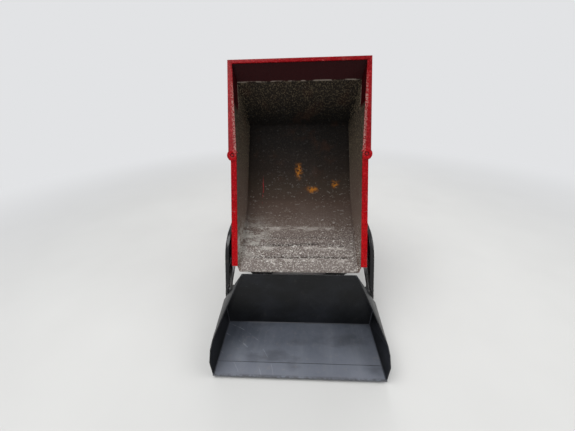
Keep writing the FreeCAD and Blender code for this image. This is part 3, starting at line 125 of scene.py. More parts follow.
class Value:
    """A shader socket that takes part in plain arithmetic."""

    def __init__(self, graph, socket):
        self.graph = graph
        self.socket = socket

    def __add__(self, other):
        return self.graph.math("ADD", self, other)

    __radd__ = __add__

    def __sub__(self, other):
        return self.graph.math("SUBTRACT", self, other)

    def __rsub__(self, other):
        return self.graph.math("SUBTRACT", other, self)

    def __mul__(self, other):
        return self.graph.math("MULTIPLY", self, other)

    __rmul__ = __mul__

    def __pow__(self, other):
        return self.graph.math("POWER", self, other)

    def __abs__(self):
        return self.graph.math("ABSOLUTE", self, 0.0)

    def rise(self, low, high):
        """0 below low, 1 above high, smooth between. Low over high turns it round."""
        flip = low > high
        first, last = (high, low) if flip else (low, high)
        sockets = {"Value": self, "From Min": first, "From Max": last}
        made = self.graph.add("MapRange", {"interpolation_type": "SMOOTHSTEP", "clamp": True}, sockets)
        return 1.0 - made if flip else made

    def hump(self, low, middle, high):
        """1 at middle, falling to 0 at low and at high."""
        return self.rise(low, middle) * self.rise(high, middle)

    def clamped(self):
        return self.graph.add("Clamp", {}, {"Value": self})


class Graph:
    """The node tree of one material, or of the world."""

    def __init__(self, name, owner=None):
        self.owner = owner or bpy.data.materials.new(name)
        self.owner.use_nodes = True
        self.tree = self.owner.node_tree
        self.tree.nodes.clear()
        self.spot = None

    def add(self, kind, settings, sockets, out=0):
        """Adds a node of that kind, sets its settings, feeds its sockets and returns one output."""
        node = self.tree.nodes.new("ShaderNode" + kind)
        for name, setting in settings.items():
            if name == "stops":
                self.set_stops(node.color_ramp, setting)
            else:
                setattr(node, name, setting)
        for name, value in sockets.items():
            self.feed(node.inputs[name], value)
        return Value(self, node.outputs[out]) if node.outputs else None

    @staticmethod
    def set_stops(ramp, stops):
        while len(ramp.elements) < len(stops):
            ramp.elements.new(0.5)
        for element, (place, tone) in zip(ramp.elements, stops):
            element.position = place
            element.color = tone

    def feed(self, socket, value):
        if isinstance(value, Value):
            self.tree.links.new(value.socket, socket)
        else:
            socket.default_value = value

    def math(self, operation, first, second):
        return self.add("Math", {"operation": operation}, {0: first, 1: second})

    def place(self, axis=None):
        """The point on the piece, in metres in the row frame, or one of its three numbers."""
        if self.spot is None:
            self.spot = self.add("TexCoord", {}, {}, "Object")
        if axis is None:
            return self.spot
        return self.add("SeparateXYZ", {}, {"Vector": self.spot}, "XYZ".index(axis))

    def noise(self, scale, detail=3.0, rough=0.55, stretch=(1.0, 1.0, 1.0), shift=0.0):
        spot = {"Vector": self.place(), "Scale": stretch, "Location": (shift, shift * 0.7, -shift)}
        moved = self.add("Mapping", {}, spot)
        sockets = {"Vector": moved, "Scale": scale, "Detail": detail, "Roughness": rough}
        return self.add("TexNoise", {}, sockets, "Fac")

    def cells(self, scale):
        return self.add("TexVoronoi", {}, {"Vector": self.place(), "Scale": scale}, "Distance")

    def from_upright(self, x0, y0):
        """How far a point lies from the upright line at x0, y0."""
        x, y = self.place("X") - x0, self.place("Y") - y0
        return (x * x + y * y) ** 0.5

    def mix(self, first, second, share):
        """One colour over another."""
        settings = {"data_type": "RGBA", "clamp_factor": True}
        return self.add("Mix", settings, {0: share, 6: first, 7: second}, 2)

    def bump(self, height, strength, depth=0.001, under=None):
        sockets = {"Height": height, "Strength": strength, "Distance": depth}
        if under is not None:
            sockets["Normal"] = under
        return self.add("Bump", {}, sockets)

    def finish(self, base, rough, metal=0.0, normal=None, **more):
        """Joins the colours and values to the surface. More are the shader's own fixed numbers."""
        sockets = {"Base Color": base, "Roughness": rough, "Metallic": metal}
        if normal is not None:
            sockets["Normal"] = normal
        for name, value in more.items():
            sockets[name.replace("_", " ")] = value
        shader = self.add("BsdfPrincipled", {}, sockets)
        self.add("OutputMaterial", {}, {"Surface": shader})
        return self.owner


# Finishes

RED = srgb(160, 12, 20)
# Enamel in shade, for random darker patches and the rim's painted shade, and enamel in light, for the painted
# highlight over the rim's front
RED_DARK = srgb(92, 5, 10)
RED_LIT = srgb(186, 12, 20)
RED_PALE = srgb(206, 70, 76)
WHEEL_GREY = srgb(186, 186, 182)
SEAT_BLACK = srgb(24, 24, 26)
RUST = srgb(112, 58, 28)
DUST = srgb(150, 140, 126)
SOOT = srgb(22, 20, 20)
# Floor and side tones from the lip (0) to the rear (1): the worn steel, darkening towards the deep end as painted
# shade under the overhanging rear wall
FLOOR_TONES_SHADED = [
    (0.00, srgb(112, 103, 98)),
    (0.12, srgb(100, 90, 85)),
    (0.25, srgb(84, 72, 66)),
    (0.40, srgb(64, 51, 44)),
    (0.52, srgb(46, 37, 30)),
    (0.66, srgb(27, 20, 16)),
    (0.84, srgb(13, 9, 7)),
    (1.00, srgb(9, 6, 5)),
]
SIDE_TONES_SHADED = [
    (0.00, srgb(98, 84, 76)),
    (0.30, srgb(90, 76, 68)),
    (0.55, srgb(76, 64, 56)),
    (0.75, srgb(58, 50, 42)),
    (1.00, srgb(36, 30, 24)),
]


def user_colour(field):
    """A colour of the finishes, as the user has set it."""
    return tuple(getattr(bpy.context.scene.dumper_sizes, field))


def skip_place(g):
    """How far from the middle, how far along the rim and how deep under it a point of the skip lies."""
    x, y, z = g.place("X"), g.place("Y"), g.place("Z")
    along = (y - SKIP_PIVOT.y) * math.cos(SKIP_TIP) + (z - SKIP_PIVOT.z) * math.sin(SKIP_TIP)
    height = (z - SKIP_PIVOT.z) * math.cos(SKIP_TIP) - (y - SKIP_PIVOT.y) * math.sin(SKIP_TIP)
    return x, along + (SKIP_PIVOT.y - SKIP_FRONT_Y), (SKIP_RIM_Z - SKIP_PIVOT.z) - height


def red_enamel(name, rim=False):
    """Glossy red enamel with a little dust, chips down to dark primer, and on the rim a worn inner edge, a
    painted highlight over its front and painted shade behind its rings.
    """
    g = Graph(name)
    enamel, shade, bright = (user_colour(field) for field in ("enamel", "enamel_shade", "enamel_lit"))
    cloud = g.noise(3.0, 4.0)
    base = g.mix(enamel, shade, cloud.rise(0.45, 0.75) * 0.5)
    if rim:
        x, s, _depth = skip_place(g)
        # Painted shade on the rim behind its rings, and a painted highlight over its front
        base = g.mix(base, shade, s.rise(0.70, 0.78) * 0.55)
        base = g.mix(base, bright, s.rise(0.55, 0.15) * 0.8)
        speck = g.noise(120.0, 3.0, 0.7, shift=8.0)
        base = g.mix(base, shade, speck.rise(0.50, 0.42) * 0.5)
        base = g.mix(base, RED_PALE, speck.rise(0.58, 0.66) * 0.5)
        from_edge = abs(x) - (TOP_HALF[0] + (s - SKIP_LUG_S) * RIM_FLARE)
        worn_edge = from_edge.rise(0.022, 0.005) * s.rise(0.68, 0.74) * s.rise(1.22, 1.02)
        base = g.mix(base, srgb(150, 122, 114), worn_edge * speck.rise(0.44, 0.58) * 0.85)
    chips = g.noise(95.0, 5.0, 0.7).rise(0.69, 0.73) * g.noise(6.0, 2.0, shift=3.0).rise(0.45, 0.68) * 0.84
    base = g.mix(base, srgb(34, 12, 12), chips.clamped())
    dust = g.noise(14.0, 6.0, 0.7, shift=5.0).rise(0.52, 0.85) * 0.16
    base = g.mix(base, DUST, dust)
    rough = 0.24 + cloud * 0.12 + chips * 0.3 + dust * 0.9
    ripple = g.bump(g.noise(30.0, 3.0), 0.6, 0.0018)
    edge = g.bump(1.0 - chips, 0.35, 0.0004, ripple)
    return g.finish(base, rough, 0.0, edge, Specular_IOR_Level=0.06 if rim else 0.15)


def skip_lining(name):
    """The skip's inside: paint worn to dark steel, painted shade deepening towards the rear wall, dents drawn in
    painted shade and highlight, mortar speckle, dried slurry near the lip, rust stains, and a red band under the
    rim darkened as painted shade.
    """
    g = Graph(name)
    x, s, depth = skip_place(g)
    side = abs(x)
    near_lip = s.rise(0.42, 0.05)
    rear_wall = s.rise(0.985, 1.03)
    on_side = side.rise(FLOOR_HALF - 0.004, FLOOR_HALF - 0.0005)
    cloud = g.noise(5.0, 5.0, 0.6)
    crust = g.noise(11.0, 4.0, 0.65, shift=7.0)
    wavy = s + (cloud - 0.5) * 0.05
    # Painted shade: the floor and sides darken towards the deep end, and the rear wall darkens the deeper it lies
    floor_tone_and_light = g.add("ValToRGB", {"stops": FLOOR_TONES_SHADED}, {"Fac": wavy})
    side_tone_shaded = g.add("ValToRGB", {"stops": SIDE_TONES_SHADED}, {"Fac": wavy})
    back_tone_shaded = g.mix(srgb(30, 24, 19), srgb(7, 5, 4), depth.rise(0.12, 0.30))
    base = g.mix(floor_tone_and_light, side_tone_shaded, on_side)
    base = g.mix(base, back_tone_shaded, rear_wall)
    base = g.mix(base, srgb(52, 30, 18), g.noise(7.0, 4.0, 0.6, shift=11.0).rise(0.52, 0.72) * 0.35)
    broken = g.noise(26.0, 4.0, 0.7, stretch=(0.35, 1.0, 1.0), shift=5.0)
    line = s + (g.noise(6.0, 2.0, shift=2.0) - 0.5) * 0.022
    inside = side.rise(0.350, 0.300)
    # Dents: painted shade along their grooves and a painted highlight along their crests
    groove_shade = line.hump(0.112, 0.122, 0.134) + line.hump(0.036, 0.046, 0.056)
    groove_shade = (groove_shade + line.hump(0.158, 0.166, 0.174) * 0.6) * inside
    crest_highlight = line.hump(0.086, 0.104, 0.118) + line.hump(0.016, 0.032, 0.044)
    crest_highlight = (crest_highlight + line.hump(0.200, 0.224, 0.250) * 0.6) * inside
    base = g.mix(base, srgb(38, 30, 27), (groove_shade * broken.rise(0.38, 0.52) * 0.8).clamped())
    base = g.mix(base, srgb(186, 180, 172), (crest_highlight * broken.rise(0.46, 0.58) * 0.55).clamped())
    upper = s.rise(0.45, 0.75)
    grit = g.noise(105.0, 3.0, 0.75).rise(0.50, 0.62)
    share = rear_wall * depth.rise(0.34, 0.10) * 0.55 + on_side * upper * 0.5 + near_lip * 0.5 + 0.05
    base = g.mix(base, g.mix(srgb(104, 93, 74), srgb(206, 200, 192), near_lip), (grit * share).clamped())
    fleck = g.noise(70.0, 3.0, 0.7, stretch=(0.6, 1.0, 1.0), shift=2.0).rise(0.60, 0.67)
    slurry = near_lip * crust.rise(0.40, 0.58)
    fleck = fleck * (0.025 + slurry * 0.85 + s.hump(0.3, 0.45, 0.7) * 0.10)
    base = g.mix(base, srgb(220, 216, 208), fleck.clamped())
    left_bloom = x.rise(-0.16, -0.29) * s.hump(0.0, 0.13, 0.34) * broken.rise(0.42, 0.56)
    base = g.mix(base, srgb(168, 166, 158), left_bloom * 0.7)
    for spot_x, spot_s, wide, tall in RUST_SPOTS:
        off = g.noise(24.0, 3.0, shift=spot_x * 9.0) * 0.05 - 0.025
        spot = (x + off).hump(spot_x - wide, spot_x, spot_x + wide)
        spot = spot * (s + off).hump(spot_s - tall, spot_s, spot_s + tall) * g.noise(70.0, 3.0).rise(0.36, 0.56)
        base = g.mix(base, srgb(158, 96, 22), spot * 0.9)
    wander = g.noise(7.0, 2.0, stretch=(0.0, 1.0, 1.0)) * 0.03 - 0.015
    scratch = (x + wander).hump(SCRATCH_X - 0.005, SCRATCH_X, SCRATCH_X + 0.005) * s.hump(0.38, 0.50, 0.62)
    scratch = scratch * g.noise(40.0, 2.0, shift=4.0).rise(0.40, 0.52)
    base = g.mix(base, srgb(150, 26, 36), scratch * 0.9)
    # A band of unworn red paint under the rim, darkened as painted shade
    clean_band_shaded = rear_wall * depth.rise(0.088, 0.081)
    base = g.mix(base, srgb(40, 2, 4), clean_band_shaded)
    scraped = rear_wall * depth.hump(0.080, 0.085, 0.091) * broken.rise(0.48, 0.56)
    base = g.mix(base, srgb(150, 138, 126), scraped * 0.7)
    scuff = g.noise(18.0, 4.0, 0.6, stretch=(1.0, 0.25, 0.25), shift=9.0).rise(0.58, 0.72)
    rough = 0.66 + cloud * 0.2 - scuff * 0.2 - clean_band_shaded * 0.36
    lump = g.bump(crust + grit * 0.4 - groove_shade * 0.8, 0.45, 0.0022)
    fine = g.bump(g.noise(210.0, 3.0, 0.7), 0.25, 0.0006, lump)
    return g.finish(base, rough.clamped(), 0.0, fine, Specular_IOR_Level=0.12)


RUST_SPOTS = [
    (0.000, 0.640, 0.034, 0.080),
    (0.098, 0.500, 0.058, 0.030),
    (0.262, 0.540, 0.040, 0.042),
]
SCRATCH_X = -0.262


def black_paint(name, gloss, dusty):
    """Black enamel with fine dust and dull handling marks."""
    g = Graph(name)
    cloud = g.noise(4.0, 4.0)
    base = g.mix(srgb(15, 15, 17), srgb(34, 34, 37), cloud.rise(0.4, 0.8))
    low = g.place("Z").rise(0.75, 0.05)
    dust = g.noise(20.0, 6.0, 0.7, shift=2.0).rise(0.5, 0.85) * dusty * (0.35 + low)
    base = g.mix(base, DUST, dust)
    chips = g.noise(110.0, 4.0, 0.7, shift=8.0).rise(0.73, 0.75) * g.noise(5.0, 2.0, shift=1.0).rise(0.5, 0.7)
    base = g.mix(base, srgb(96, 84, 74), chips * 0.6)
    rough = gloss + cloud * 0.1 + dust * 0.9
    skin = g.bump(g.noise(55.0, 2.0), 0.1, 0.0006)
    return g.finish(base, rough, 0.0, skin, Specular_IOR_Level=0.3, Coat_Weight=0.08, Coat_Roughness=0.1)


def shovel_paint(name):
    """Satin black plate, blue-grey with dust on the floor and lighter towards the front as a painted sheen,
    rubbed bright along scuffs and the cutting edge.
    """
    g = Graph(name)
    y, z = g.place("Y"), g.place("Z")
    cloud = g.noise(3.5, 5.0, 0.6)
    on_floor = z.rise(0.040, 0.0305)
    base = g.mix(srgb(11, 12, 14), srgb(30, 32, 37), cloud.rise(0.40, 0.75))
    # Painted sheen: the floor is painted lighter towards the cutting edge, with some random patches
    sheen = y.rise(-1.20, -1.50) * 0.7 + cloud.rise(0.3, 0.7) * 0.3
    floor_tone_and_light = g.mix(srgb(60, 65, 75), srgb(112, 116, 126), sheen)
    base = g.mix(base, floor_tone_and_light, on_floor * 0.9)
    drag = g.noise(9.0, 4.0, 0.6, stretch=(1.0, 0.18, 1.0), shift=4.0).rise(0.5, 0.72)
    base = g.mix(base, srgb(126, 128, 134), drag * on_floor * 0.14)
    smear = g.noise(5.0, 4.0, 0.5, stretch=(0.7, 1.5, 1.0), shift=6.0).rise(0.54, 0.72)
    base = g.mix(base, srgb(40, 42, 48), smear * on_floor * 0.45)
    arc = g.from_upright(-0.62, -1.62) + g.noise(5.0, 3.0) * 0.05
    arcs = arc.hump(0.425, 0.430, 0.435) + arc.hump(0.302, 0.306, 0.310) + arc.hump(0.500, 0.503, 0.506)
    arcs = arcs * on_floor * g.noise(14.0, 3.0).rise(0.45, 0.6) * 0.5
    base = g.mix(base, srgb(134, 138, 146), arcs.clamped())
    dust = g.noise(26.0, 6.0, 0.75, shift=1.0).rise(0.54, 0.8) * (0.05 + on_floor * 0.16)
    base = g.mix(base, DUST, dust)
    edge = y.rise(SHOVEL_FRONT_Y + 0.016, SHOVEL_FRONT_Y + 0.002) * on_floor
    base = g.mix(base, srgb(70, 70, 72), edge * g.noise(45.0, 4.0).rise(0.35, 0.6) * 0.8)
    fleck = g.noise(170.0, 2.0, 0.8, shift=3.0).rise(0.70, 0.74)
    base = g.mix(base, srgb(150, 150, 148), fleck * 0.25)
    rough = 0.34 + cloud * 0.12 + dust * 0.8 - drag * 0.08 + on_floor * 0.06
    waves = g.bump(g.noise(4.5, 2.0), 0.5, 0.004)
    fine = g.bump(g.noise(120.0, 3.0, 0.7), 0.15, 0.0005, waves)
    return g.finish(base, rough.clamped(), 0.0, fine, Specular_IOR_Level=0.28)


def chassis_paint(name, tone):
    """Dark chassis paint, dusty and splashed from below."""
    g = Graph(name)
    cloud = g.noise(6.0, 4.0)
    dark = srgb(*tone)
    light = srgb(*(min(255, part + 22) for part in tone))
    base = g.mix(dark, light, cloud.rise(0.4, 0.8))
    low = g.place("Z").rise(0.62, 0.12)
    mud = (g.noise(16.0, 6.0, 0.7, shift=3.0).rise(0.46, 0.72) * (0.15 + low * 0.65)).clamped()
    base = g.mix(base, srgb(122, 108, 90), mud)
    rough = 0.38 + mud * 0.5 + cloud * 0.1
    return g.finish(base, rough, 0.0, g.bump(mud + g.noise(70.0, 3.0) * 0.3, 0.3, 0.001))


def cast_paint(name):
    """A painted casting: coarse skin under thick paint, with oily dust."""
    g = Graph(name)
    base = g.mix(srgb(52, 53, 55), srgb(28, 27, 26), g.noise(9.0, 5.0).rise(0.4, 0.75))
    dust = g.noise(22.0, 6.0, 0.7, shift=6.0).rise(0.45, 0.8) * 0.4
    base = g.mix(base, srgb(126, 112, 94), dust)
    skin = g.bump(g.noise(130.0, 4.0, 0.7), 0.45, 0.0012)
    return g.finish(base, 0.5 + dust * 0.4, 0.0, skin)


def tyre_rubber(name):
    """Black rubber, grey on the flanks, with dried dust between the lugs."""
    g = Graph(name)
    cloud = g.noise(8.0, 5.0)
    base = g.mix(srgb(19, 19, 20), srgb(40, 39, 38), cloud.rise(0.4, 0.8))
    dust = g.noise(28.0, 6.0, 0.75, shift=2.0).rise(0.44, 0.78)
    base = g.mix(base, srgb(122, 110, 94), dust * 0.45)
    return g.finish(base, 0.72 + dust * 0.18, 0.0, g.bump(g.noise(180.0, 3.0), 0.25, 0.0006))


def wheel_enamel(name):
    """Light grey wheel enamel with mud thrown into its corners and rust at the bolts."""
    g = Graph(name)
    cloud = g.noise(10.0, 4.0)
    base = g.mix(user_colour("wheel"), srgb(148, 147, 142), cloud.rise(0.4, 0.8))
    mud = g.noise(19.0, 6.0, 0.7, shift=5.0).rise(0.48, 0.68)
    base = g.mix(base, srgb(118, 102, 82), mud * 0.6)
    rust = g.noise(60.0, 4.0, 0.7, shift=9.0).rise(0.68, 0.74)
    base = g.mix(base, RUST, rust * 0.7)
    return g.finish(base, 0.42 + mud * 0.35, 0.0, g.bump(mud, 0.3, 0.0008))


def plated_rod(name):
    """Ground and plated steel with a film of oil, darker and duller towards the eyes behind the shovel."""
    g = Graph(name)
    film = g.noise(30.0, 3.0)
    # Darker and duller towards the eyes behind the shovel
    dark_near_shovel = g.place("Y").rise(-0.94, -1.03)
    base = g.mix(srgb(206, 208, 212), srgb(168, 166, 160), film.rise(0.45, 0.7))
    base = g.mix(base, srgb(20, 19, 19), dark_near_shovel)
    rough = 0.10 + film * 0.12 + dark_near_shovel * 0.35
    return g.finish(base, rough, 1.0 - dark_near_shovel, g.bump(g.noise(300.0, 2.0), 0.05, 0.0002))


def bare_steel(name):
    """Zinc and bare steel of bolts, pins and worn edges."""
    g = Graph(name)
    stain = g.noise(70.0, 4.0, 0.7)
    base = g.mix(srgb(120, 116, 110), RUST, stain.rise(0.60, 0.78) * 0.6)
    return g.finish(base, 0.34 + stain * 0.25, 0.85, g.bump(stain, 0.2, 0.0004))


def seat_cover(name):
    """Black coated fabric with a fine grain and dusty, polished wear."""
    g = Graph(name)
    grain = g.cells(420.0)
    wear = g.noise(6.0, 3.0).rise(0.45, 0.7)
    base = g.mix(user_colour("seat"), srgb(46, 45, 46), wear * 0.6)
    base = g.mix(base, DUST, g.noise(40.0, 5.0, 0.7).rise(0.55, 0.8) * 0.18)
    return g.finish(base, 0.56 - wear * 0.14, 0.0, g.bump(grain, 0.35, 0.0006), Sheen_Weight=0.1)


def moulded_grip(name):
    """Black moulded plastic with a fine spark-eroded grain."""
    g = Graph(name)
    base = g.mix(srgb(22, 22, 24), srgb(52, 51, 51), g.noise(12.0, 4.0).rise(0.45, 0.8) * 0.5)
    return g.finish(base, 0.48, 0.0, g.bump(g.noise(260.0, 3.0), 0.35, 0.0005))


def weld_metal(name, tone=None):
    """A painted weld bead with its ripple, in the enamel's colour or a tone of its own."""
    g = Graph(name)
    base = g.mix(tone or user_colour("enamel"), srgb(60, 52, 46), g.noise(60.0, 4.0).rise(0.5, 0.75) * 0.4)
    return g.finish(base, 0.4, 0.0, g.bump(g.noise(160.0, 2.0), 0.4, 0.001))


def lens(name, tone):
    """A moulded reflector lens with small prisms."""
    g = Graph(name)
    prisms = g.cells(260.0)
    base = g.mix(tone, SOOT, g.noise(30.0, 4.0).rise(0.55, 0.8) * 0.25)
    return g.finish(base, 0.16, 0.0, g.bump(prisms, 0.5, 0.001), Coat_Weight=0.6)


# What makes each finish: its function and what that is given
FINISHES = {
    "red": (red_enamel, "red enamel"),
    "rim": (red_enamel, "rim enamel", True),
    "lining": (skip_lining, "skip lining"),
    "arm": (black_paint, "gloss black arm", 0.16, 0.2),
    "black": (black_paint, "satin black", 0.3, 0.35),
    "shovel": (shovel_paint, "shovel plate"),
    "chassis": (chassis_paint, "chassis paint", (40, 41, 44)),
    "deck": (chassis_paint, "deck paint", (58, 58, 60)),
    "cast": (cast_paint, "painted casting"),
    "tyre": (tyre_rubber, "tyre rubber"),
    "wheel": (wheel_enamel, "wheel enamel"),
    "rod": (plated_rod, "plated rod"),
    "steel": (bare_steel, "zinc and steel"),
    "seat": (seat_cover, "seat cover"),
    "grip": (moulded_grip, "moulded grip"),
    "red_weld": (weld_metal, "red weld"),
    "black_weld": (weld_metal, "black weld", srgb(58, 60, 66)),
    "ruby": (lens, "red lens", srgb(170, 14, 18)),
}
MATERIALS = {}


def paint(name):
    """The named finish, made once."""
    if name not in MATERIALS:
        maker, *given = FINISHES[name]
        MATERIALS[name] = maker(*given)
    return MATERIALS[name]


# Mesh helpers


def bevelled(piece, width, angle_deg):
    """Rounds a piece's sharp edges and works that into its mesh."""
    edge = piece.modifiers.new("edge", "BEVEL")
    edge.width = width
    edge.segments = 2
    edge.limit_method = "ANGLE"
    edge.angle_limit = math.radians(angle_deg)
    edge.use_clamp_overlap = True
    view = bpy.context.evaluated_depsgraph_get()
    mesh = bpy.data.meshes.new_from_object(piece.evaluated_get(view))
    piece.modifiers.clear()
    piece.data = mesh


def linked(bm, mesh_name, name):
    """An object in the scene whose mesh is the bmesh, which it frees."""
    mesh = bpy.data.meshes.new(mesh_name)
    bm.to_mesh(mesh)
    bm.free()
    piece = bpy.data.objects.new(name, mesh)
    bpy.context.scene.collection.objects.link(piece)
    return piece


def piece_from(bm, name, finish, body, smooth_deg, nodes=()):
    """A finished piece from a bmesh: shaded, painted, riding on its body."""
    bmesh.ops.recalc_face_normals(bm, faces=bm.faces)
    return dress(linked(bm, name, name), finish, body, smooth_deg, nodes)


def dress(piece, finish, body, smooth_deg, nodes):
    for face in piece.data.polygons:
        face.use_smooth = True
    piece.data.set_sharp_from_angle(angle=math.radians(smooth_deg))
    for name in finish if isinstance(finish, tuple) else (finish,):
        piece.data.materials.append(paint(name))
    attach(piece, body)
    if nodes:
        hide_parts(*nodes)
    return piece


def node_mesh(node):
    """A welded copy of a frame node's mesh, with its flat faces joined up again."""
    bm = bmesh.new()
    bm.from_mesh(NODES[node].data)
    bmesh.ops.remove_doubles(bm, verts=bm.verts, dist=2e-5)
    bmesh.ops.dissolve_limit(bm, angle_limit=math.radians(0.8), verts=bm.verts, edges=bm.edges)
    return bm


def rounded_node(node, finish, edge):
    """A copy of a frame node with its sharp edges rounded, in its place."""
    piece = linked(node_mesh(node), node + "_rounded", node + "_dressed")
    bevelled(piece, edge, 38.0)
    return dress(piece, finish, BODY_OF[node], 38.0, (node,))


def painted_node(node, finish):
    """A frame node that keeps its own shape and takes a finish."""
    mesh = NODES[node].data
    mesh.materials.clear()
    mesh.materials.append(paint(finish))


def add_box(bm, centre, size, turn=None):
    """A box with its centre, its three sizes and a turn about its centre."""
    place = Matrix.Translation(centre)
    if turn is not None:
        place = place @ turn.to_4x4()
    bmesh.ops.create_cube(bm, size=1.0, matrix=place @ Matrix.Diagonal((*size, 1.0)))


def add_round(bm, start, end, radius, sides=16, end_radius=None):
    """A round bar or cone from start to end."""
    start, end = Vector(start), Vector(end)
    axis = end - start
    turn = Vector((0, 0, 1)).rotation_difference(axis.normalized()).to_matrix().to_4x4()
    place = Matrix.Translation((start + end) / 2) @ turn
    far = radius if end_radius is None else end_radius
    bmesh.ops.create_cone(
        bm, cap_ends=True, segments=sides, radius1=radius, radius2=far, depth=axis.length, matrix=place
    )


def add_hex(bm, spot, axis, radius, height):
    """A hexagon bolt head with a washer under it, standing on spot along axis."""
    spot, axis = Vector(spot), Vector(axis).normalized()
    add_round(bm, spot, spot + axis * height * 0.28, radius * 1.45, 20)
    add_round(bm, spot + axis * height * 0.28, spot + axis * height * 0.86, radius, 6)
    add_round(bm, spot + axis * height * 0.86, spot + axis * height, radius, 6, radius * 0.82)


def add_tube(bm, points, radius, sides=10, closed=False):
    """A bent tube through points, as one skin with capped ends."""
    points = [Vector(p) for p in points]
    rings = []
    count = len(points)
    side = None
    for i, point in enumerate(points):
        ahead = points[(i + 1) % count] if closed or i < count - 1 else point
        behind = points[i - 1] if closed or i > 0 else point
        along = (ahead - behind).normalized()
        if side is None:
            side = along.orthogonal().normalized()
        side = (side - along * side.dot(along)).normalized()
        across = along.cross(side)
        ring = []
        for j in range(sides):
            turn = 2 * math.pi * j / sides
            ring.append(bm.verts.new(point + (side * math.cos(turn) + across * math.sin(turn)) * radius))
        rings.append(ring)
    last = count if closed else count - 1
    for i in range(last):
        first, second = rings[i], rings[(i + 1) % count]
        for j in range(sides):
            bm.faces.new((first[j], first[(j + 1) % sides], second[(j + 1) % sides], second[j]))
    if not closed:
        bm.faces.new(rings[0][::-1])
        bm.faces.new(rings[-1])


def add_bead(bm, start, end, radius, step=0.006, lift=None):
    """A weld bead: overlapping ripples laid from start to end."""
    start, end = Vector(start), Vector(end)
    run = end - start
    count = max(2, int(run.length / step))
    across = lift.normalized() if lift is not None else run.orthogonal().normalized()
    points = []
    for i in range(count + 1):
        ripple = 0.18 * math.sin(i * 2.4) + dice.uniform(-0.12, 0.12)
        points.append(start + run * (i / count) + across * radius * ripple)
    add_tube(bm, points, radius, 6)


def tipped(s, x, depth):
    """A point of the skip, s behind its rim's front and depth under it, in the stored, tipped pose."""
    level = Vector((x, SKIP_FRONT_Y + s, SKIP_RIM_Z - depth))
    return Matrix.Rotation(SKIP_TIP, 3, "X") @ (level - SKIP_PIVOT) + SKIP_PIVOT


# Skip

SKIP_HEART = tipped(0.62, 0.0, 0.12)
SKIP_LIP_POINT = (SKIP_LIP[0], 0.0, SKIP_LIP[1])
SKIP_ALONG = (tipped(1.0, 0.0, 0.0) - tipped(0.0, 0.0, 0.0)).normalized()
# Where along the floor each dent lies, how deep it is and how wide
DENTS = [(0.046, 0.0042, 0.0080), (0.123, 0.0055, 0.0100), (0.166, 0.0030, 0.0100), (0.300, 0.0020, 0.0200)]
LIP_BAND = 0.030
FLOOR_BEAD_R = 0.0035
RIM_BEAD_S = (0.06, 0.20, 0.34, 0.48, 0.62, 0.78, 0.92, 1.06, 1.18)
RIM_BEAD_L = 0.045
RIM_BEAD_R = 0.003
RING_BEAD_DEG = (70, 100, 130, 230, 260, 290)
RING_BEAD_AT = 0.034
# What fills a ring: its piece, finish, two heights and two radii
RING_FILLS = (
    # The webs are black: they close the rings' bores and stand as painted shade in the recess round the bolts
    ("skip_ring_webs", "black", 0.002, 0.008, 0.0129, 0.0129),
    ("skip_ring_bolts", "red", 0.008, 0.0155, 0.0088, 0.0072),
)


def floor_dent(s, x):
    """How far the skip's floor is beaten out of flat at a point, up out of the plate."""
    lift = 0.0
    for middle, deep, wide in DENTS:
        wander = middle + 0.006 * math.sin(x * 9.0 + middle * 40.0)
        fade = max(0.0, 1.0 - (abs(x) / 0.34) ** 4)
        lift -= deep * math.exp(-(((s - wander) / wide) ** 2)) * fade
        lift += deep * 0.55 * math.exp(-(((s - wander - 1.6 * wide) / wide) ** 2)) * fade
    swell = math.sin(x * 15.0 + 1.3) * math.sin(s * 11.0) + 0.6 * math.sin(x * 31.0 - s * 17.0)
    return lift + 0.0011 * swell


def floor_sheet(bm, first, last, rows, columns, dent):
    """A thin beaten sheet over one flat of the skip's floor, from the profile point first to last."""
    run = math.hypot(last[0] - first[0], last[1] - first[1])
    up_s, up_d = (last[1] - first[1]) / run, -(last[0] - first[0]) / run
    layers = []
    for base, wavy in ((0.0002, False), (0.0062, True)):
        layer = []
        for i in range(rows + 1):
            share = i / rows
            s = first[0] + (last[0] - first[0]) * share
            depth = first[1] + (last[1] - first[1]) * share
            line = []
            for j in range(columns + 1):
                x = (FLOOR_HALF - 0.0008) * (2.0 * j / columns - 1.0)
                edge = min(1.0, share * 12.0, (1.0 - share) * 12.0, (1.0 - abs(x) / FLOOR_HALF) * 22.0)
                lift = base + (dent(s, x) * edge if wavy else 0.0)
                if wavy:
                    lift = 0.0010 + (lift - 0.0010) * edge
                line.append(bm.verts.new(tipped(s + up_s * lift, x, depth + up_d * lift)))
            layer.append(line)
        layers.append(layer)
    low, high = layers
    for i in range(rows):
        for j in range(columns):
            bm.faces.new((high[i][j], high[i][j + 1], high[i + 1][j + 1], high[i + 1][j]))
            bm.faces.new((low[i][j], low[i + 1][j], low[i + 1][j + 1], low[i][j + 1]))
    rim = [(0, j) for j in range(columns + 1)] + [(i, columns) for i in range(1, rows + 1)]
    rim += [(rows, j) for j in range(columns - 1, -1, -1)] + [(i, 0) for i in range(rows - 1, 0, -1)]
    for (a, b), (c, d) in zip(rim, rim[1:] + rim[:1]):
        bm.faces.new((high[a][b], low[a][b], low[c][d], high[c][d]))


def skip_shell(sizes):
    """The tub, red outside, and worn inside and over its lip."""
    shell = rounded_node("skip_tub", ("red", "lining"), sizes.edge_round)
    lip = tipped(*SKIP_LIP_POINT)
    for face in shell.data.polygons:
        inward = face.normal.dot(SKIP_HEART - face.center) > 0.0
        at_lip = (face.center - lip).dot(SKIP_ALONG) < LIP_BAND and abs(face.center.x) < FLOOR_HALF
        face.material_index = 1 if inward or at_lip else 0


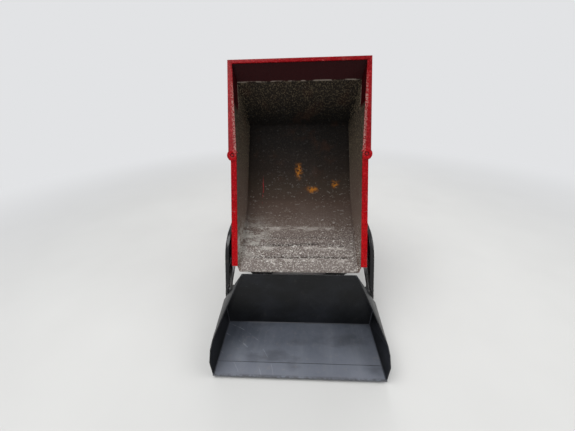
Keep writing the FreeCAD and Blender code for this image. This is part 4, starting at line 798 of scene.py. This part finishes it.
def skip_inner_welds():
    """Beads along the floor's two edges, up the rear corners and across the heel."""
    bm = bmesh.new()
    foot = FLOOR_HALF - 0.001
    for side in (1, -1):
        corners = [tipped(s, side * foot, depth) for s, depth in (SKIP_LIP, SKIP_BEND, SKIP_HEEL)]
        corners.append(tipped(SKIP_REAR[0], side * (TOP_HALF[1] - 0.001), 0.004))
        for first, last in zip(corners, corners[1:]):
            add_bead(bm, first, last, FLOOR_BEAD_R)
    heel = [tipped(SKIP_HEEL[0], x, SKIP_HEEL[1] - 0.001) for x in (-foot, foot)]
    add_bead(bm, *heel, FLOOR_BEAD_R)
    piece_from(bm, "skip_inner_welds", "lining", "skip", 60.0)


def skip_rim_welds():
    """Short beads under the flange, round the rings' feet, and one mark on each side."""
    bm = bmesh.new()
    for side in (1, -1):
        for s in RIM_BEAD_S:
            out = side * (TOP_HALF[0] + PLATE_T + 0.002 + max(0.0, s - SKIP_LUG_S) * RIM_FLARE)
            add_bead(bm, tipped(s, out, 0.001), tipped(s + RIM_BEAD_L, out, 0.001), RIM_BEAD_R)
        for first_deg in RING_BEAD_DEG:
            ends = []
            for turn in (math.radians(first_deg), math.radians(first_deg + 24)):
                s, x = SKIP_LUG_S + RING_BEAD_AT * math.sin(turn), SKIP_RING_X + RING_BEAD_AT * math.cos(turn)
                ends.append(tipped(s, side * x, -0.009))
            add_bead(bm, *ends, 0.0025)
        add_bead(bm, tipped(0.345, side * 0.402, -0.0085), tipped(0.352, side * 0.421, -0.0085), 0.0022)
    piece_from(bm, "skip_rim_welds", "red_weld", "skip", 60.0)


def make_skip(sizes):
    skip_shell(sizes)
    sheets = (
        ("skip_floor_front", SKIP_LIP, SKIP_BEND, 96, 84, floor_dent),
        ("skip_floor_rear", SKIP_BEND, SKIP_HEEL, 60, 60, lambda s, x: 0.5 * floor_dent(s + 2.0, x)),
    )
    for name, first, last, rows, columns, dent in sheets:
        bm = bmesh.new()
        floor_sheet(bm, first, last, rows, columns, dent)
        piece_from(bm, name, "lining", "skip", 60.0)
    rounded_node("skip_rim", "rim", sizes.edge_round * 1.3)
    rounded_node("skip_cradle", "chassis", sizes.edge_round)
    skip_inner_welds()
    skip_rim_welds()
    out = (tipped(SKIP_LUG_S, 0.0, -1.0) - tipped(SKIP_LUG_S, 0.0, 0.0)).normalized()
    for name, finish, low, high, radius, end_radius in RING_FILLS:
        bm = bmesh.new()
        for side in (1, -1):
            ring = tipped(SKIP_LUG_S, side * SKIP_RING_X, 0.0)
            add_round(bm, ring + out * low, ring + out * high, radius, 32, end_radius)
        piece_from(bm, name, finish, "skip", 35.0)


# Shovel


def make_shovel(sizes):
    rounded_node("shovel_bucket", "shovel", sizes.edge_round)
    rounded_node("shovel_ears", "black", sizes.edge_round)
    bm = bmesh.new()
    inner = SHOVEL_HALF - 0.0068
    floor = SHOVEL_FLOOR_Z + 0.0004
    wear_y = SHOVEL_FRONT_Y + sizes.wear_strip
    add_bead(bm, (-inner, wear_y, floor), (inner, wear_y, floor), 0.0014, 0.008, Vector((0, 1, 0)))
    back = SHOVEL_BACK_Y - 0.0012
    add_bead(bm, (-inner, back, floor + 0.001), (inner, back, floor + 0.001), 0.0040, 0.008, Vector((0, 0, 1)))
    for side in (1, -1):
        add_bead(bm, (side * inner, SHOVEL_FRONT_Y + 0.006, floor), (side * inner, back, floor), 0.0036)
        knee = Vector((side * (SHOVEL_HALF - 0.008), SHOVEL_BACK_Y - 0.0105, SHOVEL_KNEE_Z))
        add_bead(bm, (side * inner, SHOVEL_BACK_Y - 0.0015, 0.034), knee, 0.0034)
        throat = Vector((side * 0.3615, SHOVEL_THROAT[0] - 0.0015, SHOVEL_THROAT[1] - 0.002))
        add_bead(bm, knee, throat, 0.0034)
    piece_from(bm, "shovel_welds", "black_weld", "shovel", 60.0)


# Arms

# The arms' pins: y, z and the radius of the cap
ARM_PINS = ((-1.060, 0.240, 0.030), (-0.560, 0.645, 0.022), (-0.430, 0.665, 0.022))
ARM_FACE_X = 0.5202
PIN_CAP_T = 0.006


def make_arms(sizes):
    for side in ("right", "left"):
        rounded_node("arm_" + side, "arm", sizes.edge_round * 1.4)
    bm = bmesh.new()
    for side in (1, -1):
        for y, z, radius in ARM_PINS:
            start = Vector((side * ARM_FACE_X, y, z))
            end = start + Vector((side * PIN_CAP_T, 0, 0))
            add_round(bm, start, end, radius, 28, radius * 0.93)
            add_hex(bm, end, (side, 0, 0), radius * 0.34, 0.007)
    piece_from(bm, "arm_pin_caps", "steel", "arms", 35.0)


# Chassis

TREAD_STEP = (0.039, 0.033)
TREAD_MARK = (0.026, 0.006, 0.0018)
THIN_EDGE = 0.0008


def floor_tread():
    """Raised marks on the deck and the footboards, each turned across its neighbours."""
    bm = bmesh.new()
    for i in range(-9, 10):
        for j in range(12):
            spot = Vector((TREAD_STEP[0] * i, 0.458 + TREAD_STEP[1] * j, DECK_TOP + 0.0006))
            on_deck = abs(spot.x) < 0.165 and spot.y < 0.815
            on_board = abs(spot.x) < 0.366 and spot.y < 0.556
            under_console = abs(spot.x) < 0.110 and spot.y < 0.626
            if (on_deck or on_board) and not under_console:
                turn = Matrix.Rotation(math.radians(45 if (i + j) % 2 else -45), 3, "Z")
                add_box(bm, spot, TREAD_MARK, turn)
    piece_from(bm, "floor_tread", "deck", "rear_frame", 30.0)


def make_chassis(sizes):
    for node in ("front_frame", "arm_towers", "rear_frame"):
        rounded_node(node, "chassis", sizes.edge_round)
    for node in ("front_axle", "rear_axle"):
        rounded_node(node, "cast", sizes.edge_round)
    rounded_node("counterweight", "cast", sizes.edge_round * 2.0)
    rounded_node("floor_plate", "deck", THIN_EDGE)
    rounded_node("side_tanks", "chassis", sizes.edge_round)
    floor_tread()
    for place in ("front", "rear"):
        y = WHEEL_SPOTS[place + "_right"][1]
        bm = bmesh.new()
        for side in (-1, 1):
            for step in (-0.040, 0.040):
                add_hex(bm, (side * 0.1802, y + step, 0.345), (side, 0, 0), 0.010, 0.010)
        for turn_deg in range(0, 360, 45):
            turn = math.radians(turn_deg)
            spot = (0.052 * math.cos(turn), y - 0.091, 0.284 + 0.052 * math.sin(turn))
            add_hex(bm, spot, (0, -1, 0), 0.007, 0.008)
        piece_from(bm, place + "_axle_bolts", "steel", place + "_frame", 35.0)


# Wheels


def tyre_profile():
    """Half of the tyre's carcass from the bead to the middle of its crown, as (x, radius)."""
    half = TYRE_W / 2
    crown = TYRE_R - LUG_H
    return [
        (half * 0.70, RIM_R + 0.001),
        (half * 0.78, RIM_R + 0.010),
        (half * 0.91, RIM_R + 0.026),
        (half * 0.968, RIM_R + 0.046),
        (half * 0.968, RIM_R + 0.070),
        (half * 0.93, crown - 0.022),
        (half * 0.84, crown - 0.009),
        (half * 0.62, crown - 0.003),
        (half * 0.28, crown),
    ]


def make_tyre(bm, x0, y0, lugs):
    rows = tyre_profile()
    rows = rows + [(-x, r) for x, r in reversed(rows)]
    rows = rows + [(-TYRE_W * 0.32, RIM_R - 0.006), (TYRE_W * 0.32, RIM_R - 0.006)]
    turns = 72
    rings = []
    for i in range(turns):
        turn = 2 * math.pi * i / turns
        ring = [bm.verts.new((x0 + x, y0 + r * math.cos(turn), TYRE_R + r * math.sin(turn))) for x, r in rows]
        rings.append(ring)
    count = len(rows)
    for i in range(turns):
        first, second = rings[i], rings[(i + 1) % turns]
        for j in range(count):
            bm.faces.new((first[j], first[(j + 1) % count], second[(j + 1) % count], second[j]))
    for side in (1, -1):
        for i in range(lugs):
            add_lug(bm, x0, y0, side, 2 * math.pi * (i + (0.5 if side < 0 else 0.0)) / lugs)


# Down a lug from the middle of the crown: its outer edge and the edge hidden in the carcass, each as a
# share of the half width and a radius
LUG_STATIONS = [
    (-0.08, 0.2918, -0.08, 0.268),
    (0.26, 0.2919, 0.26, 0.268),
    (0.58, 0.2916, 0.58, 0.266),
    (0.77, 0.2902, 0.70, 0.260),
    (0.88, 0.2795, 0.78, 0.252),
    (0.985, 0.2640, 0.84, 0.244),
    (0.998, 0.2460, 0.88, 0.236),
]
# A wheel's bolts: how many, on what radius, how far out, turned by what share of a step, head and height
WHEEL_BOLTS = ((5, 0.084, 0.0342, 0.5, 0.0105, 0.015), (6, 0.030, 0.0640, 0.0, 0.0055, 0.006))


def add_lug(bm, x0, y0, side, start):
    """One tread lug, swept from the middle of the crown back and over the shoulder."""
    half = TYRE_W / 2
    loops = []
    for share, top, hidden_share, hidden in LUG_STATIONS:
        turn = start - (LUG_SWEEP * (2.0 * (share + 0.08) / 1.08 - 1.0)) / TYRE_R
        low, high = (LUG_HALF + 0.0018) / TYRE_R, (LUG_HALF - 0.0012) / TYRE_R
        loop = []
        corners = ((hidden_share, hidden, -low), (share, top, -high))
        corners += ((share, top, high), (hidden_share, hidden, low))
        for x, radius, offset in corners:
            angle = turn + offset
            spot = (x0 + side * x * half, y0 + radius * math.cos(angle), TYRE_R + radius * math.sin(angle))
            loop.append(bm.verts.new(spot))
        loops.append(loop)
    for first, second in zip(loops, loops[1:]):
        for j in range(4):
            bm.faces.new((first[j], first[(j + 1) % 4], second[(j + 1) % 4], second[j]))
    bm.faces.new(loops[0][::-1])
    bm.faces.new(loops[-1])


def make_wheels(sizes):
    for place, (x, y) in WHEEL_SPOTS.items():
        body = "wheel_" + place
        side = 1 if x > 0 else -1
        bm = bmesh.new()
        make_tyre(bm, x, y, sizes.lug_count)
        tyre = piece_from(bm, place + "_tyre_tread", "tyre", body, 32.0, ("tyre_" + place,))
        bevelled(tyre, 0.0016, 40.0)
        rounded_node(body, "wheel", sizes.edge_round)
        bm = bmesh.new()
        for count, ring, out, shift, radius, height in WHEEL_BOLTS:
            for i in range(count):
                turn = 2 * math.pi * (i + shift) / count
                spot = (x + side * out, y + ring * math.cos(turn), TYRE_R + ring * math.sin(turn))
                add_hex(bm, spot, (side, 0, 0), radius, height)
        valve = Vector((x + side * 0.040, y, TYRE_R + RIM_R - 0.034))
        add_round(bm, valve, valve + Vector((side * 0.028, 0, 0.004)), 0.0035, 10)
        piece_from(bm, place + "_wheel_bolts", "steel", body, 35.0)


# Cylinders

PAIR = ("_right", "_left")
RAMS = (("tip", ("",)), ("steer", ("",)), ("lift", PAIR), ("crowd", PAIR))


def make_rams(sizes):
    for ram, sides in RAMS:
        for side in sides:
            rounded_node(f"{ram}_barrel{side}", "black", sizes.edge_round)
            rounded_node(f"{ram}_rod{side}", "rod", sizes.edge_round * 0.6)


# Operator's place

# The seat's pads: piece, centre, size, lean in degrees, crown and channels
SEAT_PADS = (
    ("seat_cushion", (0, 0.998, 0.790), (0.425, 0.270, 0.094), 0.0, 0.014, (-0.105, 0.105)),
    ("seat_back", (0, 1.134, 0.990), (0.400, 0.310, 0.052), 83.0, 0.010, (-0.100, 0.100)),
)
PAD_GRID = (64, 40, 10)
CHANNEL_DEPTH = 0.010
CHANNEL_WIDTH = 0.0075
STEERING_AT = Vector((0, 0.640, 1.000))
STEERING_LEAN = math.radians(30.0)
STEERING_R = 0.165
LEVER_X = (0.112, 0.140, 0.168)
PEDAL_X = (-0.150, 0.150)
PEDAL_TILT = math.radians(-28.0)


def pad(bm, centre, size, turn, crown, channels):
    """A stuffed pad: a rounded block whose top is crowned and whose sewn channels run front to back."""
    across, along, thick = PAD_GRID
    half = Vector(size) / 2
    grid = {}

    def vert(i, j, k):
        key = (i, j, k)
        if key in grid:
            return grid[key]
        u, v, w = 2 * i / across - 1, 2 * j / along - 1, 2 * k / thick - 1
        edge = max(abs(u), abs(v))
        pull = edge / (abs(u) ** 7 + abs(v) ** 7) ** (1 / 7) if edge > 0 else 1.0
        x, y = u * half.x * pull, v * half.y * pull
        tuck = 1.0 - 0.055 * w * w * edge ** 6
        swell = (1 - (x / half.x) ** 4) * (1 - (y / half.y) ** 4)
        z = w * half.z * (1 - 0.30 * edge ** 6)
        if w > 0:
            z += crown * swell * w
            fade = min(1.0, (1 - abs(v)) * 6)
            for line in channels:
                z -= CHANNEL_DEPTH * w * math.exp(-(((x - line) / CHANNEL_WIDTH) ** 2)) * fade
        grid[key] = bm.verts.new(Vector(centre) + turn @ Vector((x * tuck, y * tuck, z)))
        return grid[key]

    def skin(first, second, fixed, at, flip):
        for a in range(first):
            for b in range(second):
                corners = [(a, b), (a + 1, b), (a + 1, b + 1), (a, b + 1)]
                keys = [fixed(c, d, at) for c, d in corners]
                bm.faces.new([vert(*key) for key in (keys[::-1] if flip else keys)])

    for at, flip in ((0, True), (thick, False)):
        skin(across, along, lambda a, b, c: (a, b, c), at, flip)
    for at, flip in ((0, False), (along, True)):
        skin(across, thick, lambda a, b, c: (a, c, b), at, flip)
    for at, flip in ((0, True), (across, False)):
        skin(along, thick, lambda a, b, c: (c, a, b), at, flip)


def seat():
    for name, centre, size, lean_deg, crown, channels in SEAT_PADS:
        bm = bmesh.new()
        pad(bm, centre, size, Matrix.Rotation(math.radians(lean_deg), 3, "X"), crown, channels)
        cover = piece_from(bm, name, "seat", "rear_frame", 60.0, ("seat",))


def steering_wheel():
    """A rim, three spokes that dip to the hub, and the hub with its cap."""
    centre = STEERING_AT
    right = Vector((1, 0, 0))
    normal = Vector((0, math.sin(STEERING_LEAN), math.cos(STEERING_LEAN)))
    along = normal.cross(right)
    bm = bmesh.new()
    ring = []
    for i in range(64):
        turn = 2 * math.pi * i / 64
        ring.append(centre + (right * math.cos(turn) + along * math.sin(turn)) * STEERING_R)
    add_tube(bm, ring, 0.0118, 14, True)
    for i in range(3):
        turn = math.pi / 2 + 2 * math.pi * i / 3
        way = right * math.cos(turn) + along * math.sin(turn)
        points = [centre - normal * 0.006 + way * 0.026, centre + way * 0.070, centre + way * 0.157]
        add_tube(bm, points, 0.0078, 10)
    add_round(bm, centre - normal * 0.016, centre + normal * 0.004, 0.034, 32)
    add_round(bm, centre + normal * 0.004, centre + normal * 0.010, 0.034, 32, 0.026)
    piece_from(bm, "steering_wheel_grip", "grip", "steering_wheel", 40.0, ("steering_wheel",))


def dials():
    """Two dials on the console's slope and three knobs under them."""
    bm = bmesh.new()
    panel = Vector((0.0, 0.5238, 0.9160))
    for x in (-0.048, 0.048):
        add_round(bm, panel + Vector((x, 0.002, 0)), panel + Vector((x, 0.0075, 0.018)), 0.026, 32)
    for x in (-0.05, 0.0, 0.05):
        add_round(bm, (x, 0.612, 0.740), (x, 0.622, 0.742), 0.008, 16)
    piece_from(bm, "console_dials", "grip", "rear_frame", 35.0)


def levers():
    """Three levers with ball knobs in a block at the seat's right."""
    bm = bmesh.new()
    for x in LEVER_X:
        foot = Vector((x + 0.060, 0.842, 0.700))
        add_round(bm, foot, foot + Vector((0, -0.020, 0.140)), 0.0045, 10)
        knob = Matrix.Translation(foot + Vector((0, -0.021, 0.150)))
        bmesh.ops.create_uvsphere(bm, u_segments=16, v_segments=10, radius=0.013, matrix=knob)
    add_box(bm, (0.200, 0.836, 0.690), (0.090, 0.020, 0.040))
    piece_from(bm, "control_levers", "grip", "rear_frame", 35.0)


def pedals():
    """Two tilted pedals with four ribs each."""
    bm = bmesh.new()
    tilt = Matrix.Rotation(PEDAL_TILT, 3, "X")
    for x in PEDAL_X:
        plate = Vector((x, 0.500, 0.560))
        add_box(bm, plate, (0.070, 0.105, 0.008), tilt)
        add_round(bm, (x, 0.530, 0.508), (x, 0.512, 0.556), 0.006, 12)
        for k in range(4):
            rib = tilt @ Vector((0, -0.036 + 0.024 * k, 0.006)) + plate
            add_box(bm, rib, (0.062, 0.008, 0.005), tilt)
    piece_from(bm, "pedals", "black", "rear_frame", 35.0)


def make_station(sizes):
    rounded_node("console", "chassis", sizes.edge_round)
    seat()
    steering_wheel()
    dials()
    levers()
    pedals()


# Bodywork

PANEL_EDGE = 0.0016
FENDER_EDGE = 0.0012


def make_bodywork():
    rounded_node("cowl", "red", PANEL_EDGE)
    rounded_node("seat_box", "red", PANEL_EDGE)
    rounded_node("fenders", "chassis", FENDER_EDGE)
    painted_node("engine", "cast")
    bm = bmesh.new()
    for side in (1, -1):
        hinge = Vector((side * 0.318, 1.225, 0.905))
        add_box(bm, hinge + Vector((side * 0.003, 0, -0.22)), (0.006, 0.034, 0.060))
        pin = hinge + Vector((side * 0.006, 0, -0.19))
        add_round(bm, pin, pin + Vector((0, 0, -0.06)), 0.005, 12)
    add_box(bm, (0.0, 1.4525, 0.865), (0.120, 0.006, 0.020))
    add_box(bm, (0.0, 1.4580, 0.859), (0.110, 0.006, 0.008))
    piece_from(bm, "cowl_catches", "black", "cowl", 35.0)
    for side, name in ((1, "right"), (-1, "left")):
        bm = bmesh.new()
        add_round(bm, (side * 0.255, 1.4497, 0.580), (side * 0.255, 1.4580, 0.580), 0.030, 28, 0.027)
        piece_from(bm, "reflector_" + name, "ruby", "cowl", 35.0)


# Roll bar

# Its fold bolts and its catches: x, z, head and height
ROPS_BOLTS = ((0.4032, 1.150, 0.010, 0.009), (0.3965, 1.103, 0.007, 0.008))
ROPS_Y = 1.236


def make_rollbar(sizes):
    rounded_node("rops_posts", "black", sizes.edge_round)
    rounded_node("rops_hoop", "black", THIN_EDGE)
    bm = bmesh.new()
    for side in (1, -1):
        for x, z, radius, height in ROPS_BOLTS:
            add_hex(bm, (side * x, ROPS_Y, z), (side, 0, 0), radius, height)
    piece_from(bm, "rops_bolts", "steel", "rear_frame", 35.0)


# Stage

BACKDROP = srgb(226, 227, 229)
SKY = (0.93, 0.96, 1.0, 1.0)
FLOOR_HALF_SIZE = 14.0
FLOOR_FADE = (1.9, 6.0)
LAMP_AIM = Vector((0, -0.4, 0.7))
# The lamps: name, place, width and share of the key lamp's power
LAMPS = (
    ("key", (-1.6, -2.0, 5.2), 3.6, 1.0),
    ("fill", (3.2, -1.6, 3.8), 3.0, 0.35),
    ("back", (0.8, 4.2, 4.4), 3.2, 0.6),
)


def studio_floor():
    """A plain floor that fades into the backdrop where the camera looks far along it."""
    g = Graph("studio floor")
    tone = g.mix(srgb(214, 213, 210), srgb(204, 203, 200), g.noise(1.2, 3.0))
    near = g.add("BsdfPrincipled", {}, {"Base Color": tone, "Roughness": 0.85})
    far = g.add("Emission", {}, {"Color": user_colour("backdrop"), "Strength": 1.0})
    seen = g.add("LightPath", {}, {}, "Is Camera Ray")
    faded = g.from_upright(0.0, 0.0).rise(*FLOOR_FADE) * seen
    g.add("OutputMaterial", {}, {"Surface": g.add("MixShader", {}, {0: faded, 1: near, 2: far})})
    bm = bmesh.new()
    bmesh.ops.create_grid(bm, x_segments=1, y_segments=1, size=FLOOR_HALF_SIZE)
    floor = linked(bm, "studio_floor", "studio_floor")
    floor.data.materials.append(g.owner)


def studio_sky(strength):
    """Even light for the surfaces, and the backdrop for the camera and what mirrors it."""
    world = bpy.data.worlds.new("studio")
    bpy.context.scene.world = world
    g = Graph("studio", world)
    camera, glossy, clear = (
        g.add("LightPath", {}, {}, f"Is {kind} Ray") for kind in ("Camera", "Glossy", "Transmission")
    )
    seen = g.math("MAXIMUM", camera, g.math("MAXIMUM", glossy, clear))
    light = g.add("Background", {}, {"Color": SKY, "Strength": strength})
    shown = g.add("Background", {}, {"Color": user_colour("backdrop"), "Strength": 1.0})
    g.add("OutputWorld", {}, {"Surface": g.add("MixShader", {}, {0: seen, 1: light, 2: shown})})


def studio_lamps(key_power):
    for name, spot, width, share in LAMPS:
        data = bpy.data.lights.new(name, "AREA")
        data.shape = "DISK"
        data.size = width
        data.energy = key_power * share
        lamp = bpy.data.objects.new(name, data)
        lamp.location = spot
        lamp.rotation_euler = (LAMP_AIM - Vector(spot)).to_track_quat("-Z", "Y").to_euler()
        bpy.context.scene.collection.objects.link(lamp)


def photo_camera():
    """The camera as fitted to the photograph."""
    scene = bpy.context.scene
    data = bpy.data.cameras.new("photo_view")
    data.sensor_width = SENSOR_MM
    data.lens = FOCAL_PX * SENSOR_MM / FRAME_WIDTH_PX
    data.clip_end = 60.0
    camera = bpy.data.objects.new("photo_view", data)
    pitch, yaw, roll = (math.radians(v) for v in (PITCH_DEG, YAW_DEG, ROLL_DEG))
    ahead = Vector((-math.sin(yaw) * math.cos(pitch), math.cos(yaw) * math.cos(pitch), -math.sin(pitch)))
    right = Vector((math.cos(yaw), math.sin(yaw), 0.0))
    up = right.cross(ahead)
    turned_right = right * math.cos(roll) - up * math.sin(roll)
    turned_up = up * math.cos(roll) + right * math.sin(roll)
    place = Matrix((turned_right, turned_up, -ahead)).transposed().to_4x4()
    place.translation = CAMERA_AT
    camera.matrix_world = place
    scene.collection.objects.link(camera)
    scene.camera = camera
def make_stage(sizes):
    bpy.context.scene.view_settings.view_transform = "Standard"
    studio_floor()
    studio_sky(sizes.sky_strength)
    studio_lamps(sizes.key_power)
    photo_camera()


# The add-on's classes


class DumperSizes(bpy.types.PropertyGroup):
    """The sizes and levels that a user would change."""

    edge_round: bpy.props.FloatProperty(
        name="Edge rounding", description="Radius of the plates' edges", default=0.0018, min=0.0, unit="LENGTH"
    )
    wear_strip: bpy.props.FloatProperty(
        name="Wear strip", description="Depth of the strip behind the cutting edge", default=0.085, unit="LENGTH"
    )
    lug_count: bpy.props.IntProperty(
        name="Tread lugs", description="Lugs on each side of a tyre", default=LUG_COUNT, min=8, max=40
    )
    key_power: bpy.props.FloatProperty(
        name="Key lamp", description="Power of the key lamp", default=160.0, unit="POWER"
    )
    sky_strength: bpy.props.FloatProperty(
        name="Sky", description="Strength of the even light", default=0.58, min=0.0
    )
    enamel: bpy.props.FloatVectorProperty(
        name="Enamel", description="Red of the skip, cowl and seat box", default=RED, subtype="COLOR", size=4
    )
    enamel_shade: bpy.props.FloatVectorProperty(
        name="Enamel, dark", description="Its darker patches", default=RED_DARK, subtype="COLOR", size=4
    )
    enamel_lit: bpy.props.FloatVectorProperty(
        name="Enamel, bright", description="The rim's brighter front", default=RED_LIT, subtype="COLOR", size=4
    )
    wheel: bpy.props.FloatVectorProperty(
        name="Wheels", description="Enamel of the wheels", default=WHEEL_GREY, subtype="COLOR", size=4
    )
    seat: bpy.props.FloatVectorProperty(
        name="Seat", description="Cover of the seat", default=SEAT_BLACK, subtype="COLOR", size=4
    )
    backdrop: bpy.props.FloatVectorProperty(
        name="Backdrop", description="Colour behind the machine", default=BACKDROP, subtype="COLOR", size=4
    )


class DUMPER_OT_stage(bpy.types.Operator):
    """Lays the floor, hangs the lamps and sets the camera."""

    bl_idname = "dumper.stage"
    bl_label = "Stage"

    def execute(self, context):
        make_stage(context.scene.dumper_sizes)
        return {"FINISHED"}


class DUMPER_OT_skip(bpy.types.Operator):
    """Dresses the tipping skip with its rim, lining, dents and welds."""

    bl_idname = "dumper.skip"
    bl_label = "Skip"

    def execute(self, context):
        make_skip(context.scene.dumper_sizes)
        return {"FINISHED"}


class DUMPER_OT_shovel(bpy.types.Operator):
    """Dresses the shovel and its ears and lays its welds."""

    bl_idname = "dumper.shovel"
    bl_label = "Shovel"

    def execute(self, context):
        make_shovel(context.scene.dumper_sizes)
        return {"FINISHED"}


class DUMPER_OT_arms(bpy.types.Operator):
    """Dresses the two loader arms and caps their pins."""

    bl_idname = "dumper.arms"
    bl_label = "Loader arms"

    def execute(self, context):
        make_arms(context.scene.dumper_sizes)
        return {"FINISHED"}


class DUMPER_OT_chassis(bpy.types.Operator):
    """Dresses both frames, the towers, axles and floor plate."""

    bl_idname = "dumper.chassis"
    bl_label = "Chassis"

    def execute(self, context):
        make_chassis(context.scene.dumper_sizes)
        return {"FINISHED"}


class DUMPER_OT_wheels(bpy.types.Operator):
    """Makes the lugged tyres and dresses the wheels."""

    bl_idname = "dumper.wheels"
    bl_label = "Wheels"

    def execute(self, context):
        make_wheels(context.scene.dumper_sizes)
        return {"FINISHED"}


class DUMPER_OT_rams(bpy.types.Operator):
    """Paints the barrels and plates the rods."""

    bl_idname = "dumper.rams"
    bl_label = "Cylinders"

    def execute(self, context):
        make_rams(context.scene.dumper_sizes)
        return {"FINISHED"}


class DUMPER_OT_station(bpy.types.Operator):
    """Makes the seat, console, steering wheel, levers and pedals."""

    bl_idname = "dumper.station"
    bl_label = "Operator's place"

    def execute(self, context):
        make_station(context.scene.dumper_sizes)
        return {"FINISHED"}


class DUMPER_OT_bodywork(bpy.types.Operator):
    """Dresses the cowl, seat box and mudguards."""

    bl_idname = "dumper.bodywork"
    bl_label = "Bodywork"

    def execute(self, context):
        make_bodywork()
        return {"FINISHED"}


class DUMPER_OT_rollbar(bpy.types.Operator):
    """Dresses the folding roll bar and its bolts."""

    bl_idname = "dumper.rollbar"
    bl_label = "Roll bar"

    def execute(self, context):
        make_rollbar(context.scene.dumper_sizes)
        return {"FINISHED"}


OPERATORS = (
    DUMPER_OT_stage,
    DUMPER_OT_skip,
    DUMPER_OT_shovel,
    DUMPER_OT_arms,
    DUMPER_OT_chassis,
    DUMPER_OT_wheels,
    DUMPER_OT_rams,
    DUMPER_OT_station,
    DUMPER_OT_bodywork,
    DUMPER_OT_rollbar,
)
SIZE_FIELDS = ("edge_round", "wear_strip", "lug_count", "key_power", "sky_strength")
COLOUR_FIELDS = ("enamel", "enamel_shade", "enamel_lit", "wheel", "seat", "backdrop")


class DUMPER_PT_panel(bpy.types.Panel):
    """The part's sizes and its steps, in order."""

    bl_label = "Site dumper"
    bl_space_type = "VIEW_3D"
    bl_region_type = "UI"
    bl_category = "Dumper"

    def draw(self, context):
        for field in SIZE_FIELDS + COLOUR_FIELDS:
            self.layout.prop(context.scene.dumper_sizes, field)
        for kind in OPERATORS:
            self.layout.operator(kind.bl_idname)


def register():
    for kind in (DumperSizes, *OPERATORS, DUMPER_PT_panel):
        bpy.utils.register_class(kind)
    bpy.types.Scene.dumper_sizes = bpy.props.PointerProperty(type=DumperSizes)


def unregister():
    del bpy.types.Scene.dumper_sizes
    for kind in (DUMPER_PT_panel, *reversed(OPERATORS), DumperSizes):
        bpy.utils.unregister_class(kind)


def main():
    register()
    for kind in OPERATORS:
        getattr(bpy.ops.dumper, kind.bl_idname.partition(".")[2])()


if __name__ == "__main__":
    main()
